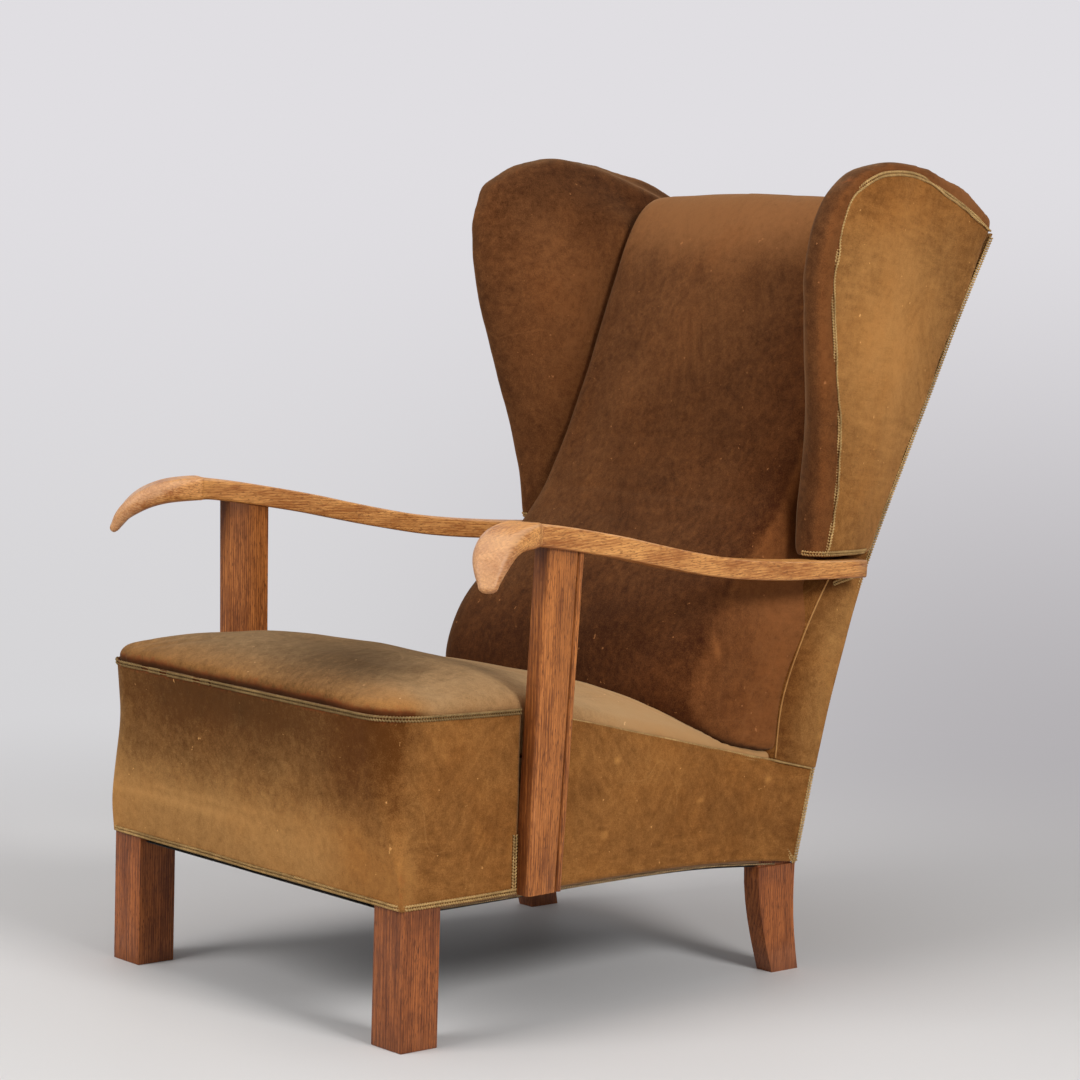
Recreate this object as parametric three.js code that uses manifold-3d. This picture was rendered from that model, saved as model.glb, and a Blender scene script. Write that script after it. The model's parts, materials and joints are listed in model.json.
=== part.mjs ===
import * as THREE from 'three';
import { mergeVertices } from 'three/addons/utils/BufferGeometryUtils.js';
import Module from 'manifold-3d';

// Wingback armchair: oak legs, arms and arm posts, a hidden beech frame, a sprung seat and velour covers.
// Millimetres. X runs across, Y from the front to the back and Z up.
// Left and right are the sitter's, so left is at +X. While building, Y is 0 at the front legs' front faces.

const wasm = await Module();
wasm.setup();

// Clearances and cutting tools
const gap = 0.3;
const overrun = 60;

// Cloth, webbing and wadding
const coverThickness = 5;
const hessianThickness = 1.6;
const hessianMargin = 2;
const webbingThickness = 2;
const dustClothThickness = 1.2;
const dustClothMargin = 6;
const dustClothRoom = 1.9;
const braidThickness = 1.9;
const braidRoom = 0.9;
const braidWidth = 7;

// Seat box, measured over its covers
const seatHalfFront = 293;
const seatHalfRear = 250;
const taperStartY = 40;
const taperEndY = 720;
const seatEdgeFront = 390;
const seatEdgePost = 386;
const seatEdgeRear = 261;
const seatEdgeRearY = 705;
const seatBottomFront = 166;
const seatBottomRear = 140;
const bottomArchStartY = 150;
const bottomArchEndY = 690;
const bottomArchPower = 3;
const frontLeanBottom = 4;
const frontLeanTop = 28;
const cornerRadiusBottom = 3;
const cornerRadiusTop = 54;
const cornerRoundFrom = 190;
const cornerRoundTo = 335;
const seatRoll = 46;
const seatRollHeight = 25;
const seatCrown = 15;
const crownStart = 0.06;
const crownForward = 0.75;
const crownFlat = 0.8;
const seatDeckDrop = 56;
const seatRearY = 632;
// Shares of the half width from the middle, and of the run to the post and then on to the rear
const seatAcrossShares = [0.35, 0.65, 0.83, 0.93, 0.98, 1];
const seatAlongShares = [0, 0.04, 0.12, 0.25, 0.44, 0.7, 1, 1.2, 1.4, 1.6, 1.8, 2];
// Shares of the front cover's run from the middle round the corner to the post, and of its height
const coverMarkShares = [0.45, 0.75];
const coverRunShares = [0.15, 0.3, 0.45, 0.51, 0.57, 0.63, 0.69, 0.75, 0.88, 1];
const coverHeightShares = [0, 0.28, 0.45, 0.6, 0.72, 1];

// Front legs
const legWidth = 55;
const legDepth = 54;
const legTop = 284;
const legInset = 9;

// Seat rails, blocks and tenons
const railThickness = 25;
const railRoom = 0.9;
const padRoom = 1.8;
const railDrop = 3;
const rearRailTop = 216;
const rearRailY = 642;
const tenonLength = 20;
const tenonThickness = 10;
const tenonShoulder = 22;
const blockReach = 62;
const blockHeight = 70;
const blockLift = 18;

// Rear legs and back uprights, one raked piece on each side
const rearFootFrontY = 647;
const rearFootRearY = 694;
const rearFootHalf = 248;
const sabreFrontY = 618;
const sabreHollow = 5;
const uprightThickness = 27;
const uprightDepthLow = 60;
const uprightDepthTop = 46;

// Heights at the top of the back, each measured down from the one before
const backCrestHeight = 998;
const backEdgeDrop = 45;
const uprightDrop = 22;
const topRailDrop = 55;
const padRearDrop = 4;
const backEdgeTop = backCrestHeight - backEdgeDrop;
const uprightTop = backEdgeTop - uprightDrop;
const topRailUnder = uprightTop - topRailDrop;
const backPadRearTop = uprightTop - padRearDrop;

// Rear edge of the back, over its covers
const backEdgeLowY = 682;
const backEdgeTopY = 968;
const backTopHalf = 292;
const splayFrom = 430;
const splayPower = 1.5;
// Shares of the height from the seat's lower edge and of the rake back
const rearEdgeShares = [[0, 0], [0.218, 0.15], [0.48, 0.395], [0.699, 0.652], [0.882, 0.858], [1, 1]];

// Back rails
const backRailDepth = 32;
const topRailHeight = 42;
const stayRailHeight = 60;
const stayRailUnder = 262;

// Inside back: its side view from the tuck under the lumbar bulge, over the top roll, to the rear edge
const lumbarY = 471;
const backTuckHeight = 283;
const lumbarHalf = 254;
const backHalf = 232;
const lumbarCorner = 40;
const tuckCorner = 6;
const tuckRoundTo = 330;
const backCorner = 20;
const backCrown = 12;
const lumbarEnds = 450;
const backStarts = 508;
const backPadRearPower = 3;
const padEaseFrom = 0.82;
const padEndShare = 0.2;
const overRailFrom = 0.72;
const overRailClimb = 0.33;
// Shares of the half width at which the inside back has a station
const backAcrossShares = [0.45, 0.8, 0.92, 0.98, 1];
// Share of the inside back's run that surely lies under every height asked for, and one that lies over it
const backLowShare = 0.15;
const backHighShare = 0.85;
const backSearchSteps = 24;
// Shares of the reach from the lumbar bulge to the rear edge and of the height from tuck to crest
const backFaceShares = [
  [0.252, 0], [0.109, 0.022], [0.02, 0.06], [0, 0.109], [0.014, 0.163], [0.047, 0.214], [0.109, 0.274],
  [0.252, 0.375], [0.328, 0.437], [0.416, 0.56], [0.52, 0.744], [0.596, 0.889], [0.652, 0.964],
  [0.707, 0.996], [0.768, 1], [0.867, 0.968], [0.98, 0.923],
];

// Wings
const wingFrontY = 594;
const wingBottomFront = 540;
const wingBottomRear = 535.5;
const wingCrest = 1041;
const wingBorderLow = 270;
const wingBorderTop = 331;
const wingRoll = 18;
const wingBulge = 13;
const wingPanelInset = 23;
const wingPanelTopInset = 13;
const wingStileFrom = 15.5;
const wingStileWidth = 30;
const wingFrameThickness = 16;
const wingFrameRoom = 1.2;
const stileTopShare = 0.9;
const railInShare = 0.14;
const seamShareLeast = 0.12;
const wingRidgeFrom = 965;
const wingRidgeTo = 1032;
const wingInnerFall = 9;
const wingRearRollShare = 0.25;
const wingRollFloorShare = 0.97;
const wingPanelDepthShare = 0.6;
// Shares of the reach from the foremost point to the rear edge and of the height from bottom to crest
const wingFrontShares = [
  [0.167, 0], [0.159, 0.16], [0.119, 0.321], [0.05, 0.523], [0.006, 0.685], [0.014, 0.826], [0.074, 0.914],
];
const wingTopShares = [
  [0.074, 0.914], [0.134, 0.947], [0.236, 0.985], [0.358, 1], [0.504, 0.995], [0.647, 0.971], [0.838, 0.915],
  [0.986, 0.842],
];
// Shares of the wing's height and of its flare
const wingFlareShares = [
  [0, 0], [0.16, 0.148], [0.32, 0.41], [0.52, 0.656], [0.73, 0.836], [0.92, 1], [1, 0.97],
];
// Shares of the border's roll at which the rolled edges have a station
const rollShares = [0, 0.12, 0.45, 1];

// Side panels behind the seam of the inside back, under the arms
const sideSeamLowY = 634;
const sideSeamTopY = 716;
const sideSeamTopHeight = 507;
const sideSeamLowHeight = 285;
// Shares of the seam's height and of its rake
const sideSeamShares = [[0, 0], [0.32, 0.11], [0.65, 0.488], [0.916, 0.902], [1, 1]];

// Arms
const armWidth = 36;
const armThickness = 27;
const armEndThickness = 23;
const armEdgeRadius = 8;
const armOuterFront = 332;
const armOuterRear = 286;
const armRearY = 754;
const armPostY = 200;
const armTopAtPost = 601.5;
const armTopAtBack = 532;
const armCrestY = 118;
const armCrestX = 322;
const armCrestHeight = 597;
const handleKneeY = 78;
const handleKneeX = 342;
const handleKneeHeight = 588;
const handleEndY = 53;
const handleEndX = 360;
const handleEndHeight = 563;
const handleTipY = 43;
const handleTipX = 370;
const handleTipHeight = 541;
const handleWidth = 50;
const handleThickness = 31;
const handleTipWidth = 34;
const handleTipThickness = 20;
const handleSwellShare = 0.9;
const handleSwellPower = 0.7;
const handleSteps = 10;
// Shares of the run from the post to the rear end and of the fall of the arm's top
const armFallShares = [
  [0, 0], [0.184, 0.252], [0.271, 0.396], [0.399, 0.597], [0.533, 0.77], [0.713, 0.899], [1, 1],
];

// Arm posts
const postThickness = 26;
const postDepthTop = 60;
const postDepthBottom = 57;
const postFrontY = 171;
const postFoot = 166;
const postSplay = 17;
const postLean = 3;
const postChamfer = 4;
const postTenonThickness = 12;
const postTenonDepth = 34;
const postTenonHeight = 16;

// Bolts through the posts and screws through the uprights
const boltRadius = 4;
const boltHeadRadius = 9;
const boltHeadThickness = 4;
const boltHeight = 240;
const boltGrip = 18;
const screwRadius = 3;
const screwHeadRadius = 6;
const screwHeadThickness = 3;
const screwY = 742;
const screwGrip = 20;
const boltSides = 10;

// Seat springs and webbing
const springEndRadius = 38;
const springWaistRadius = 27;
const springWire = 2;
const springTurns = 4;
const springStepsPerTurn = 7;
const wireSides = 4;
const webbingCells = 4;
const webbingStrap = 50;
const backWebbingHalf = 214;
const backWebbingFrom = 268;
const webbingOnTopRail = 22;
const webbingRoom = 0.9;

const clamp01 = (t) => Math.min(1, Math.max(0, t));
const mix = (a, b, t) => a + (b - a) * t;
const smooth = (t) => clamp01(t) ** 2 * (3 - 2 * clamp01(t));
const between = (from, to, count) => Array.from({ length: count + 1 }, (_, i) => mix(from, to, i / count));
const negated = (list) => [...list].reverse().map((value) => -value);

// A smooth curve through pairs of shares, as a function of the first share
function follow(shares) {
  return (t) => {
    const last = shares.length - 1;
    let i = 0;
    while (i < last - 1 && t > shares[i + 1][0]) i += 1;
    const slope = (j) => {
      const before = shares[Math.max(0, j - 1)];
      const after = shares[Math.min(last, j + 1)];
      return (after[1] - before[1]) / (after[0] - before[0]);
    };
    const [x0, y0] = shares[i];
    const [x1, y1] = shares[i + 1];
    const run = x1 - x0;
    const s = clamp01((t - x0) / run);
    const rise = (s ** 3 - 2 * s ** 2 + s) * slope(i) + (s ** 3 - s ** 2) * slope(i + 1);
    return mix(y0, y1, s * s * (3 - 2 * s)) + run * rise;
  };
}

// A closed solid from a box whose corners and stations are moved by a map of (a, b, c)
function mappedSolid(as, bs, cs, map) {
  const box = new THREE.BoxGeometry(1, 1, 1, as.length - 1, bs.length - 1, cs.length - 1);
  box.deleteAttribute('normal');
  box.deleteAttribute('uv');
  const solid = mergeVertices(box, 1e-4);
  const position = solid.getAttribute('position');
  const station = (list, value) => list[Math.round((value + 0.5) * (list.length - 1))];
  for (let i = 0; i < position.count; i += 1) {
    const a = station(as, position.getX(i));
    const b = station(bs, position.getY(i));
    const c = station(cs, position.getZ(i));
    position.setXYZ(i, ...map(a, b, c));
  }
  return outward(solid);
}

// Turns the triangles over when a map has turned the solid inside out
function outward(geometry) {
  const position = geometry.getAttribute('position');
  const index = geometry.getIndex();
  const [p, q, r] = [new THREE.Vector3(), new THREE.Vector3(), new THREE.Vector3()];
  let volume = 0;
  for (let i = 0; i < index.count; i += 3) {
    p.fromBufferAttribute(position, index.getX(i));
    q.fromBufferAttribute(position, index.getX(i + 1));
    r.fromBufferAttribute(position, index.getX(i + 2));
    volume += p.dot(q.cross(r));
  }
  if (volume < 0) {
    for (let i = 0; i < index.count; i += 3) {
      const kept = index.getX(i + 1);
      index.setX(i + 1, index.getX(i + 2));
      index.setX(i + 2, kept);
    }
  }
  return geometry;
}

function toManifold(geometry) {
  const bare = geometry.clone();
  bare.deleteAttribute('normal');
  bare.deleteAttribute('uv');
  const merged = outward(mergeVertices(bare, 1e-4));
  const vertProperties = new Float32Array(merged.getAttribute('position').array);
  const triVerts = new Uint32Array(merged.getIndex().array);
  return new wasm.Manifold(new wasm.Mesh({ numProp: 3, vertProperties, triVerts }));
}

function fromManifold(manifold) {
  const { vertProperties, triVerts } = manifold.getMesh();
  const geometry = new THREE.BufferGeometry();
  geometry.setAttribute('position', new THREE.BufferAttribute(new Float32Array(vertProperties), 3));
  geometry.setIndex(new THREE.BufferAttribute(new Uint32Array(triVerts), 1));
  return geometry;
}

function cut(geometry, ...tools) {
  return fromManifold(tools.reduce((rest, tool) => rest.subtract(toManifold(tool)), toManifold(geometry)));
}

function join(geometry, ...others) {
  return fromManifold(others.reduce((sum, other) => sum.add(toManifold(other)), toManifold(geometry)));
}

function common(geometry, other) {
  return fromManifold(toManifold(geometry).intersect(toManifold(other)));
}

function block([x0, x1], [y0, y1], [z0, z1]) {
  const box = new THREE.BoxGeometry(x1 - x0, y1 - y0, z1 - z0);
  return box.translate((x0 + x1) / 2, (y0 + y1) / 2, (z0 + z1) / 2);
}

function mirrored(geometry) {
  return outward(mergeVertices(geometry.clone().scale(-1, 1, 1), 1e-4));
}

// Moves a point near a corner of a rectangle onto a round corner; p and q are its distances in from the sides
function roundCorner(p, q, radius) {
  const s = radius - p;
  const t = radius - q;
  if (s <= 0 || t <= 0) return [p, q];
  const pull = Math.max(s, t) / Math.hypot(s, t);
  return [radius - s * pull, radius - t * pull];
}

// How far a rolled edge has risen, from 0 at the edge to 1 at one radius in
function rolled(distance, radius) {
  return Math.sqrt(1 - (1 - clamp01(distance / radius)) ** 2);
}

// Outlines of the seat box
function seatSide(y) {
  const turn = Math.PI * clamp01((y - taperStartY) / (taperEndY - taperStartY));
  return mix(seatHalfRear, seatHalfFront, (1 + Math.cos(turn)) / 2);
}

function seatEdge(y) {
  if (y < postFrontY) return mix(seatEdgeFront, seatEdgePost, clamp01(y / postFrontY));
  return mix(seatEdgePost, seatEdgeRear, (y - postFrontY) / (seatEdgeRearY - postFrontY));
}

function seatBottom(y) {
  const share = clamp01((y - bottomArchStartY) / (bottomArchEndY - bottomArchStartY));
  return mix(seatBottomFront, seatBottomRear, share ** bottomArchPower);
}

const seatDeck = (y) => seatEdge(y) - seatDeckDrop;

function seatFrontY(z) {
  const share = (z - seatBottomFront) / (seatEdgeFront - seatBottomFront);
  return -mix(frontLeanBottom, frontLeanTop, clamp01(share));
}

function seatCorner(z) {
  const share = smooth((z - cornerRoundFrom) / (cornerRoundTo - cornerRoundFrom));
  return mix(cornerRadiusBottom, cornerRadiusTop, share);
}

// Outlines of the rear edge
const rearEdgeFollow = follow(rearEdgeShares);
function rearEdgeY(z) {
  const share = (z - seatBottomRear) / (backEdgeTop - seatBottomRear);
  return mix(backEdgeLowY, backEdgeTopY, rearEdgeFollow(clamp01(share)));
}

function rearHalf(z) {
  return mix(seatHalfRear, backTopHalf, clamp01((z - splayFrom) / (backEdgeTop - splayFrom)) ** splayPower);
}

// Front legs, square below the seat and set in behind the covers above it
function frontLeg(grow = 0) {
  const inner = seatHalfFront - legWidth;
  const shoulder = seatBottomFront - gap;
  const foot = block([inner - grow, seatHalfFront + grow], [-grow, legDepth + grow], [0, shoulder + grow]);
  const head = block(
    [inner - grow, seatHalfFront - legInset + grow],
    [legInset - grow, legDepth + grow],
    [shoulder - legInset, legTop + grow],
  );
  return join(foot, head);
}

// Seat rails
const frontRailY = legInset;
const frontRailRear = legInset + railThickness;
const sideRailOuter = (y) => seatSide(y) - coverThickness - railRoom;
const railUnder = (y) => seatBottom(y) - railDrop;
const railUpper = (y) => seatDeck(y) - hessianThickness - gap;
const legInner = seatHalfFront - legWidth;

function frontRailTenon(grow = 0) {
  const reach = legInner + tenonLength + grow;
  const middle = frontRailY + railThickness / 2;
  const half = tenonThickness / 2 + grow;
  return block([-reach, reach], [middle - half, middle + half], [
    railUnder(0) + tenonShoulder - grow, legTop - tenonShoulder + grow,
  ]);
}

function frontRail() {
  const half = legInner - gap;
  const heights = [railUnder(0), railUpper(frontRailRear) - gap];
  const rail = block([-half, half], [frontRailY, frontRailRear], heights);
  return join(rail, frontRailTenon());
}

const sideRailRun = [legDepth + gap, ...between(postFrontY, sabreFrontY - gap, 6)];

function sideRail() {
  const rail = mappedSolid(sideRailRun, [0, 1], [0, 1], (y, across, up) => [
    sideRailOuter(y) - across * railThickness,
    y,
    mix(railUnder(y), railUpper(y), up),
  ]);
  return join(rail, sideRailFrontTenon(), sideRailRearTenon());
}

function sideRailFrontTenon(grow = 0) {
  const outer = sideRailOuter(legDepth) - railThickness / 2;
  return block(
    [outer - tenonThickness - grow, outer + grow],
    [legDepth - tenonLength - grow, legDepth + tenonLength],
    [railUnder(0) + tenonShoulder - grow, legTop - tenonShoulder + grow],
  );
}

function sideRailRearTenon(grow = 0) {
  const outer = uprightOuter(seatBottomRear) - tenonThickness;
  return block(
    [outer - tenonThickness - grow, outer + grow],
    [sabreFrontY - tenonLength, sabreFrontY + tenonLength + grow],
    [railUnder(sabreFrontY) + tenonShoulder - grow, railUpper(sabreFrontY) - tenonShoulder + grow],
  );
}

// Rear leg and upright: a sabre foot that runs up as the raked post of the back
const uprightOuter = (z) => (z < seatBottomRear ? rearFootHalf : rearHalf(z) - coverThickness - gap);
const uprightRear = (z) => rearEdgeY(z) - coverThickness - gap;

function uprightFront(z) {
  const share = (z - seatBottomRear) / (uprightTop - seatBottomRear);
  return uprightRear(z) - mix(uprightDepthLow, uprightDepthTop, clamp01(share));
}

function rearLegSection(z) {
  const t = clamp01(z / seatBottomRear);
  if (z >= seatBottomRear) return [uprightFront(z), uprightRear(z)];
  const hollow = sabreHollow * Math.sin(Math.PI * t);
  const head = uprightFront(seatBottomRear);
  return [mix(rearFootFrontY, head, Math.sin(t * Math.PI / 2)), mix(rearFootRearY, backEdgeLowY, t) - hollow];
}

function rearLeg(grow = 0) {
  const shoulder = seatBottomRear - gap;
  const heights = [...between(0, shoulder, 6), ...between(seatBottomRear + gap, uprightTop, 14)];
  return mappedSolid([0, 1], heights, [0, 1], (across, z, back) => {
    const [front, rear] = rearLegSection(z);
    const outer = uprightOuter(z) + grow;
    const top = z === uprightTop ? grow : 0;
    return [outer - across * (uprightThickness + grow + grow), mix(front - grow, rear + grow, back), z + top];
  });
}

function rearRailTenon(grow = 0) {
  const reach = uprightOuter(rearRailTop) - uprightThickness + tenonLength + grow;
  const middle = rearRailY + railThickness / 2;
  const half = tenonThickness / 2 + grow;
  return block([-reach, reach], [middle - half, middle + half], [
    railUnder(rearRailY) + tenonShoulder - grow, rearRailTop - tenonShoulder + grow,
  ]);
}

function rearRail() {
  const half = uprightOuter(rearRailTop) - uprightThickness - gap;
  const depths = [rearRailY, rearRailY + railThickness];
  const rail = block([-half, half], depths, [railUnder(rearRailY), rearRailTop]);
  return join(rail, rearRailTenon());
}

// Back rails, leaning with the uprights
function backRail(under, height, grow = 0, tenon = false) {
  const upper = under + height;
  const shrink = tenon ? tenonShoulder / 2 : 0;
  const inner = Math.min(uprightOuter(under), uprightOuter(upper)) - uprightThickness - gap;
  const half = tenon ? inner + tenonLength + grow : inner;
  const lean = (z) => uprightRear(z) - gap;
  const side = tenon ? (backRailDepth - tenonThickness) / 2 : 0;
  return mappedSolid([-half, half], [under + shrink - grow, upper - shrink + grow], [0, 1], (x, z, back) => [
    x, mix(lean(z) - backRailDepth + side - grow, lean(z) - side + grow, back), z,
  ]);
}

const topRail = (grow, tenon) => backRail(topRailUnder, topRailHeight, grow, tenon);
const stayRail = (grow, tenon) => backRail(stayRailUnder, stayRailHeight, grow, tenon);

// Glued blocks in the corners of the seat frame
function prism(points, under, height) {
  const shape = new THREE.Shape(points.map(([x, y]) => new THREE.Vector2(x, y)));
  const geometry = new THREE.ExtrudeGeometry(shape, { depth: height, bevelEnabled: false });
  return outward(mergeVertices(strip(geometry.translate(0, 0, under)), 1e-4));
}

function strip(geometry) {
  geometry.deleteAttribute('normal');
  geometry.deleteAttribute('uv');
  return geometry;
}

function frontBlock() {
  const legX = legInner - gap;
  const legY = legDepth + gap;
  const railY = frontRailRear + gap;
  const far = sideRailOuter(legY + blockReach) - railThickness - railRoom;
  return prism(
    [[legX - blockReach, railY], [legX, railY], [legX, legY], [far, legY], [far, legY + blockReach]],
    railUnder(legY) + blockLift,
    blockHeight,
  );
}

function rearBlock() {
  const x = uprightOuter(0) - coverThickness - uprightThickness - gap - gap;
  const y = rearRailY - gap;
  const under = railUnder(y) + blockLift;
  return prism([[x, y - blockReach], [x, y], [x - blockReach, y]], under, rearRailTop - under);
}

// Arms: a board that dips to the back, and a drooping paddle handle in front of the post
const armFallFollow = follow(armFallShares);

function armStations() {
  const run = armFallShares.map(([share]) => share);
  return run.map((share) => {
    const thickness = mix(armThickness, armEndThickness, share);
    const top = mix(armTopAtPost, armTopAtBack, armFallFollow(share));
    const outer = mix(armOuterFront, armOuterRear, share);
    const middle = [outer - armWidth / 2, mix(armPostY, armRearY, share), top - thickness / 2];
    return { middle, width: armWidth, thickness };
  });
}

function handleStations() {
  const knots = [
    [handleTipX, handleTipY, handleTipHeight],
    [handleEndX, handleEndY, handleEndHeight],
    [handleKneeX, handleKneeY, handleKneeHeight],
    [armCrestX, armCrestY, armCrestHeight],
    [armOuterFront - armWidth / 2, armPostY, armTopAtPost - armThickness / 2],
  ];
  const points = knots.map((knot) => new THREE.Vector3(...knot));
  const curve = new THREE.CatmullRomCurve3(points, false, 'centripetal');
  return between(0, 1, handleSteps).slice(0, -1).map((t) => {
    const swell = Math.sin(Math.PI * clamp01(t / handleSwellShare)) ** handleSwellPower;
    const plainWidth = mix(handleTipWidth, armWidth, smooth(t));
    const plainThickness = mix(handleTipThickness, armThickness, smooth(t + t));
    const width = plainWidth + (handleWidth - armWidth) * swell;
    const thickness = plainThickness + (handleThickness - armThickness) * swell;
    return { middle: curve.getPoint(t).toArray(), width, thickness };
  });
}

function arm(shift = [0, 0, 0]) {
  const stations = [...handleStations(), ...armStations()];
  const path = new THREE.CatmullRomCurve3(stations.map(({ middle }) => new THREE.Vector3(...middle)));
  const last = stations.length - 1;
  const sides = [-1, -0.5, 0.5, 1];
  return mappedSolid(sides, stations.map((_, i) => i), sides, (a, i, c) => {
    const { middle, width, thickness } = stations[i];
    const along = path.getTangent(i / last);
    const across = new THREE.Vector3(along.y, -along.x, 0).normalize();
    const up = new THREE.Vector3().crossVectors(across, along).normalize();
    const radius = Math.min(armEdgeRadius, thickness / 2);
    const [p, q] = roundCorner(stepIn(a, width, radius), stepIn(c, thickness, radius), radius);
    const sideways = Math.sign(a) * (width / 2 - p);
    const upward = Math.sign(c) * (thickness / 2 - q);
    return new THREE.Vector3(...middle)
      .addScaledVector(across, sideways)
      .addScaledVector(up, upward)
      .add(new THREE.Vector3(...shift))
      .toArray();
  });
}

// Distance of a station from its side of the arm: none on the side itself, one edge radius further in
function stepIn(station, breadth, radius) {
  return Math.abs(station) === 1 ? 0 : Math.min(radius, breadth / 2);
}

// Arm posts, splayed out and leaning back a little, tenoned into the arm
const postInner = (y) => seatSide(y) - coverThickness;

function postPoint(across, deep, z, grow = 0) {
  const rise = (z - postFoot) / (armTopAtPost - armThickness - postFoot);
  const depth = mix(postDepthBottom, postDepthTop, rise);
  const y = postFrontY + postLean * rise + mix(-grow, depth + grow, deep);
  const inner = mix(postInner(postFrontY), postInner(postFrontY + postDepthTop), deep) + postSplay * rise;
  return [inner + mix(-grow, postThickness + grow, across), y, z];
}

function postTenon(grow = 0) {
  const top = armTopAtPost - armThickness + postTenonHeight + grow;
  const under = armTopAtPost - armThickness - overrun;
  const share = postTenonThickness / postThickness / 2;
  const deepShare = postTenonDepth / postDepthTop / 2;
  return mappedSolid([-1, 1], [-1, 1], [under, top], (a, b, z) => {
    const [x, y] = postPoint(1 / 2 + a * share, 1 / 2 + b * deepShare, z);
    return [x + a * grow, y + b * grow, z];
  });
}

function postBlank(grow = 0) {
  const upper = armTopAtPost - armThickness / 2;
  const eased = postChamfer / postThickness;
  const easedDeep = postChamfer / postDepthTop;
  return mappedSolid([0, 1 - eased, 1], [0, easedDeep, 1], [postFoot - grow, upper], (a, b, z) => {
    const corner = a === 1 && b === 0;
    return postPoint(corner ? 1 - eased / 2 : a, corner ? easedDeep / 2 : b, z, grow);
  });
}

function armPost() {
  return join(cut(postBlank(), arm([0, 0, -gap])), postTenon());
}

// Bolts and screws, lying across the chair
function bolt(radius, headRadius, headThickness, from, to, y, z, grow = 0) {
  const profile = [
    [0, from - grow], [headRadius + grow, from - grow], [headRadius + grow, from + headThickness + grow],
    [radius + grow, from + headThickness + grow], [radius + grow, to + grow], [0, to + grow],
  ];
  const points = profile.map(([r, along]) => new THREE.Vector2(r, along));
  const turned = new THREE.LatheGeometry(points, boltSides).rotateZ(-Math.PI / 2);
  return outward(mergeVertices(strip(turned.translate(0, y, z)), 1e-4));
}

const boltY = postFrontY + postDepthBottom / 2;
const railInner = sideRailOuter(boltY) - railThickness;

function postBolt(grow = 0) {
  const from = railInner - boltHeadThickness - boltHeadThickness;
  const to = postInner(boltY) + boltGrip;
  return bolt(boltRadius, boltHeadRadius, boltHeadThickness, from, to, boltY, boltHeight, grow);
}

const screwHeight = armTopAtBack - armEndThickness / 2;

function armScrew(grow = 0) {
  const inner = uprightOuter(screwHeight) - uprightThickness;
  const from = inner - screwHeadThickness - gap;
  const to = uprightOuter(screwHeight) + screwGrip;
  return bolt(screwRadius, screwHeadRadius, screwHeadThickness, from, to, screwY, screwHeight, grow);
}

// Seat covers. The front cover runs round both front corners from post to post
const frontCoverEnd = postFrontY - gap;
const coverRun = [...negated(coverRunShares), 0, ...coverRunShares];

function frontOutline(share, z, inset) {
  const front = seatFrontY(z) + inset;
  const radius = Math.max(seatCorner(z) - inset, gap);
  const half = seatSide(front + radius) - inset;
  const [turnFrom, turnTo] = coverMarkShares;
  const side = Math.sign(share);
  const s = Math.abs(share);
  if (s <= turnFrom) return [side * (half - radius) * s / turnFrom, front];
  if (s <= turnTo) {
    const turn = (s - turnFrom) / (turnTo - turnFrom) * Math.PI / 2;
    return [side * (half - radius + radius * Math.sin(turn)), front + radius - radius * Math.cos(turn)];
  }
  const y = mix(front + radius, frontCoverEnd, (s - turnTo) / (1 - turnTo));
  return [side * (seatSide(y) - inset), y];
}

function frontCover() {
  return mappedSolid(coverRun, coverHeightShares, [0, coverThickness], (share, up, inset) => {
    const z = mix(seatBottomFront, seatEdgeFront - gap, up);
    const [x, y] = frontOutline(share, z, inset);
    return [x, y, mix(seatBottomFront, seatEdge(Math.max(0, y)) - gap, up)];
  });
}

function sideCover() {
  const from = postFrontY + postDepthTop + gap + gap;
  return mappedSolid(between(0, 1, 8), between(0, 1, 2), [0, coverThickness], (along, up, inset) => {
    const low = seatBottomRear;
    const y = mix(from, rearEdgeY(mix(low, seatEdgeRear, up)) - coverThickness - gap, along);
    return [seatSide(y) - inset, y, mix(seatBottom(y), seatEdge(y) - gap, up)];
  });
}

// The seat's top, rolled down to the braid at its edges and crowned in the middle
const seatAcross = [...negated(seatAcrossShares), 0, ...seatAcrossShares];

// A point of the seat's plan at one height, with its distance in from the rounded outline
function seatPlan(a, b, inset, height) {
  const front = seatFrontY(height) + inset;
  const y = b < 1 ? mix(front, postFrontY, b) : mix(postFrontY, seatRearY, b - 1);
  const half = seatSide(y) - inset;
  const radius = Math.max(seatCorner(height) - inset, gap);
  const [p, q] = roundCorner(half - Math.abs(a) * half, y - front, radius);
  const inCorner = p < radius && q < radius;
  const depth = inCorner ? radius - Math.hypot(radius - p, radius - q) : Math.min(p, q);
  return { x: Math.sign(a) * (seatSide(front + q) - inset - p), y: front + q, depth };
}

function seatTopPoint(a, b, inset) {
  const { x, y, depth } = seatPlan(a, b, inset, seatEdgeFront);
  const rise = (seatRollHeight - inset) * rolled(depth, seatRoll - inset);
  const front = seatFrontY(seatEdgeFront);
  const share = clamp01(mix(crownStart, 1, (y - front) / (seatRearY - front)));
  const dome = Math.max(Math.sin(Math.PI * share ** crownForward), 0) ** crownFlat;
  return [x, y, seatEdge(Math.max(0, y)) + rise + seatCrown * (1 - a ** 2) * dome];
}

function seatCover() {
  const sheet = mappedSolid(seatAcross, seatAlongShares, [0, coverThickness], seatTopPoint);
  return cut(sheet, ...bothSides(postBlank(gap)), backBody(-gap));
}

function seatStuffing() {
  const inset = coverThickness + gap + gap;
  const pad = mappedSolid(seatAcross, seatAlongShares, [0, 1], (a, b, up) => {
    if (up) return seatTopPoint(a, b, inset);
    const { x, y } = seatPlan(a, b, inset, seatDeck(0));
    return [x, y, seatDeck(Math.max(0, y)) + gap];
  });
  return cut(pad, ...bothSides(postBlank(gap)), backBody(-gap), ...bothSides(rearLeg(gap)));
}

const bothSides = (geometry) => [geometry, mirrored(geometry)];

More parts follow.
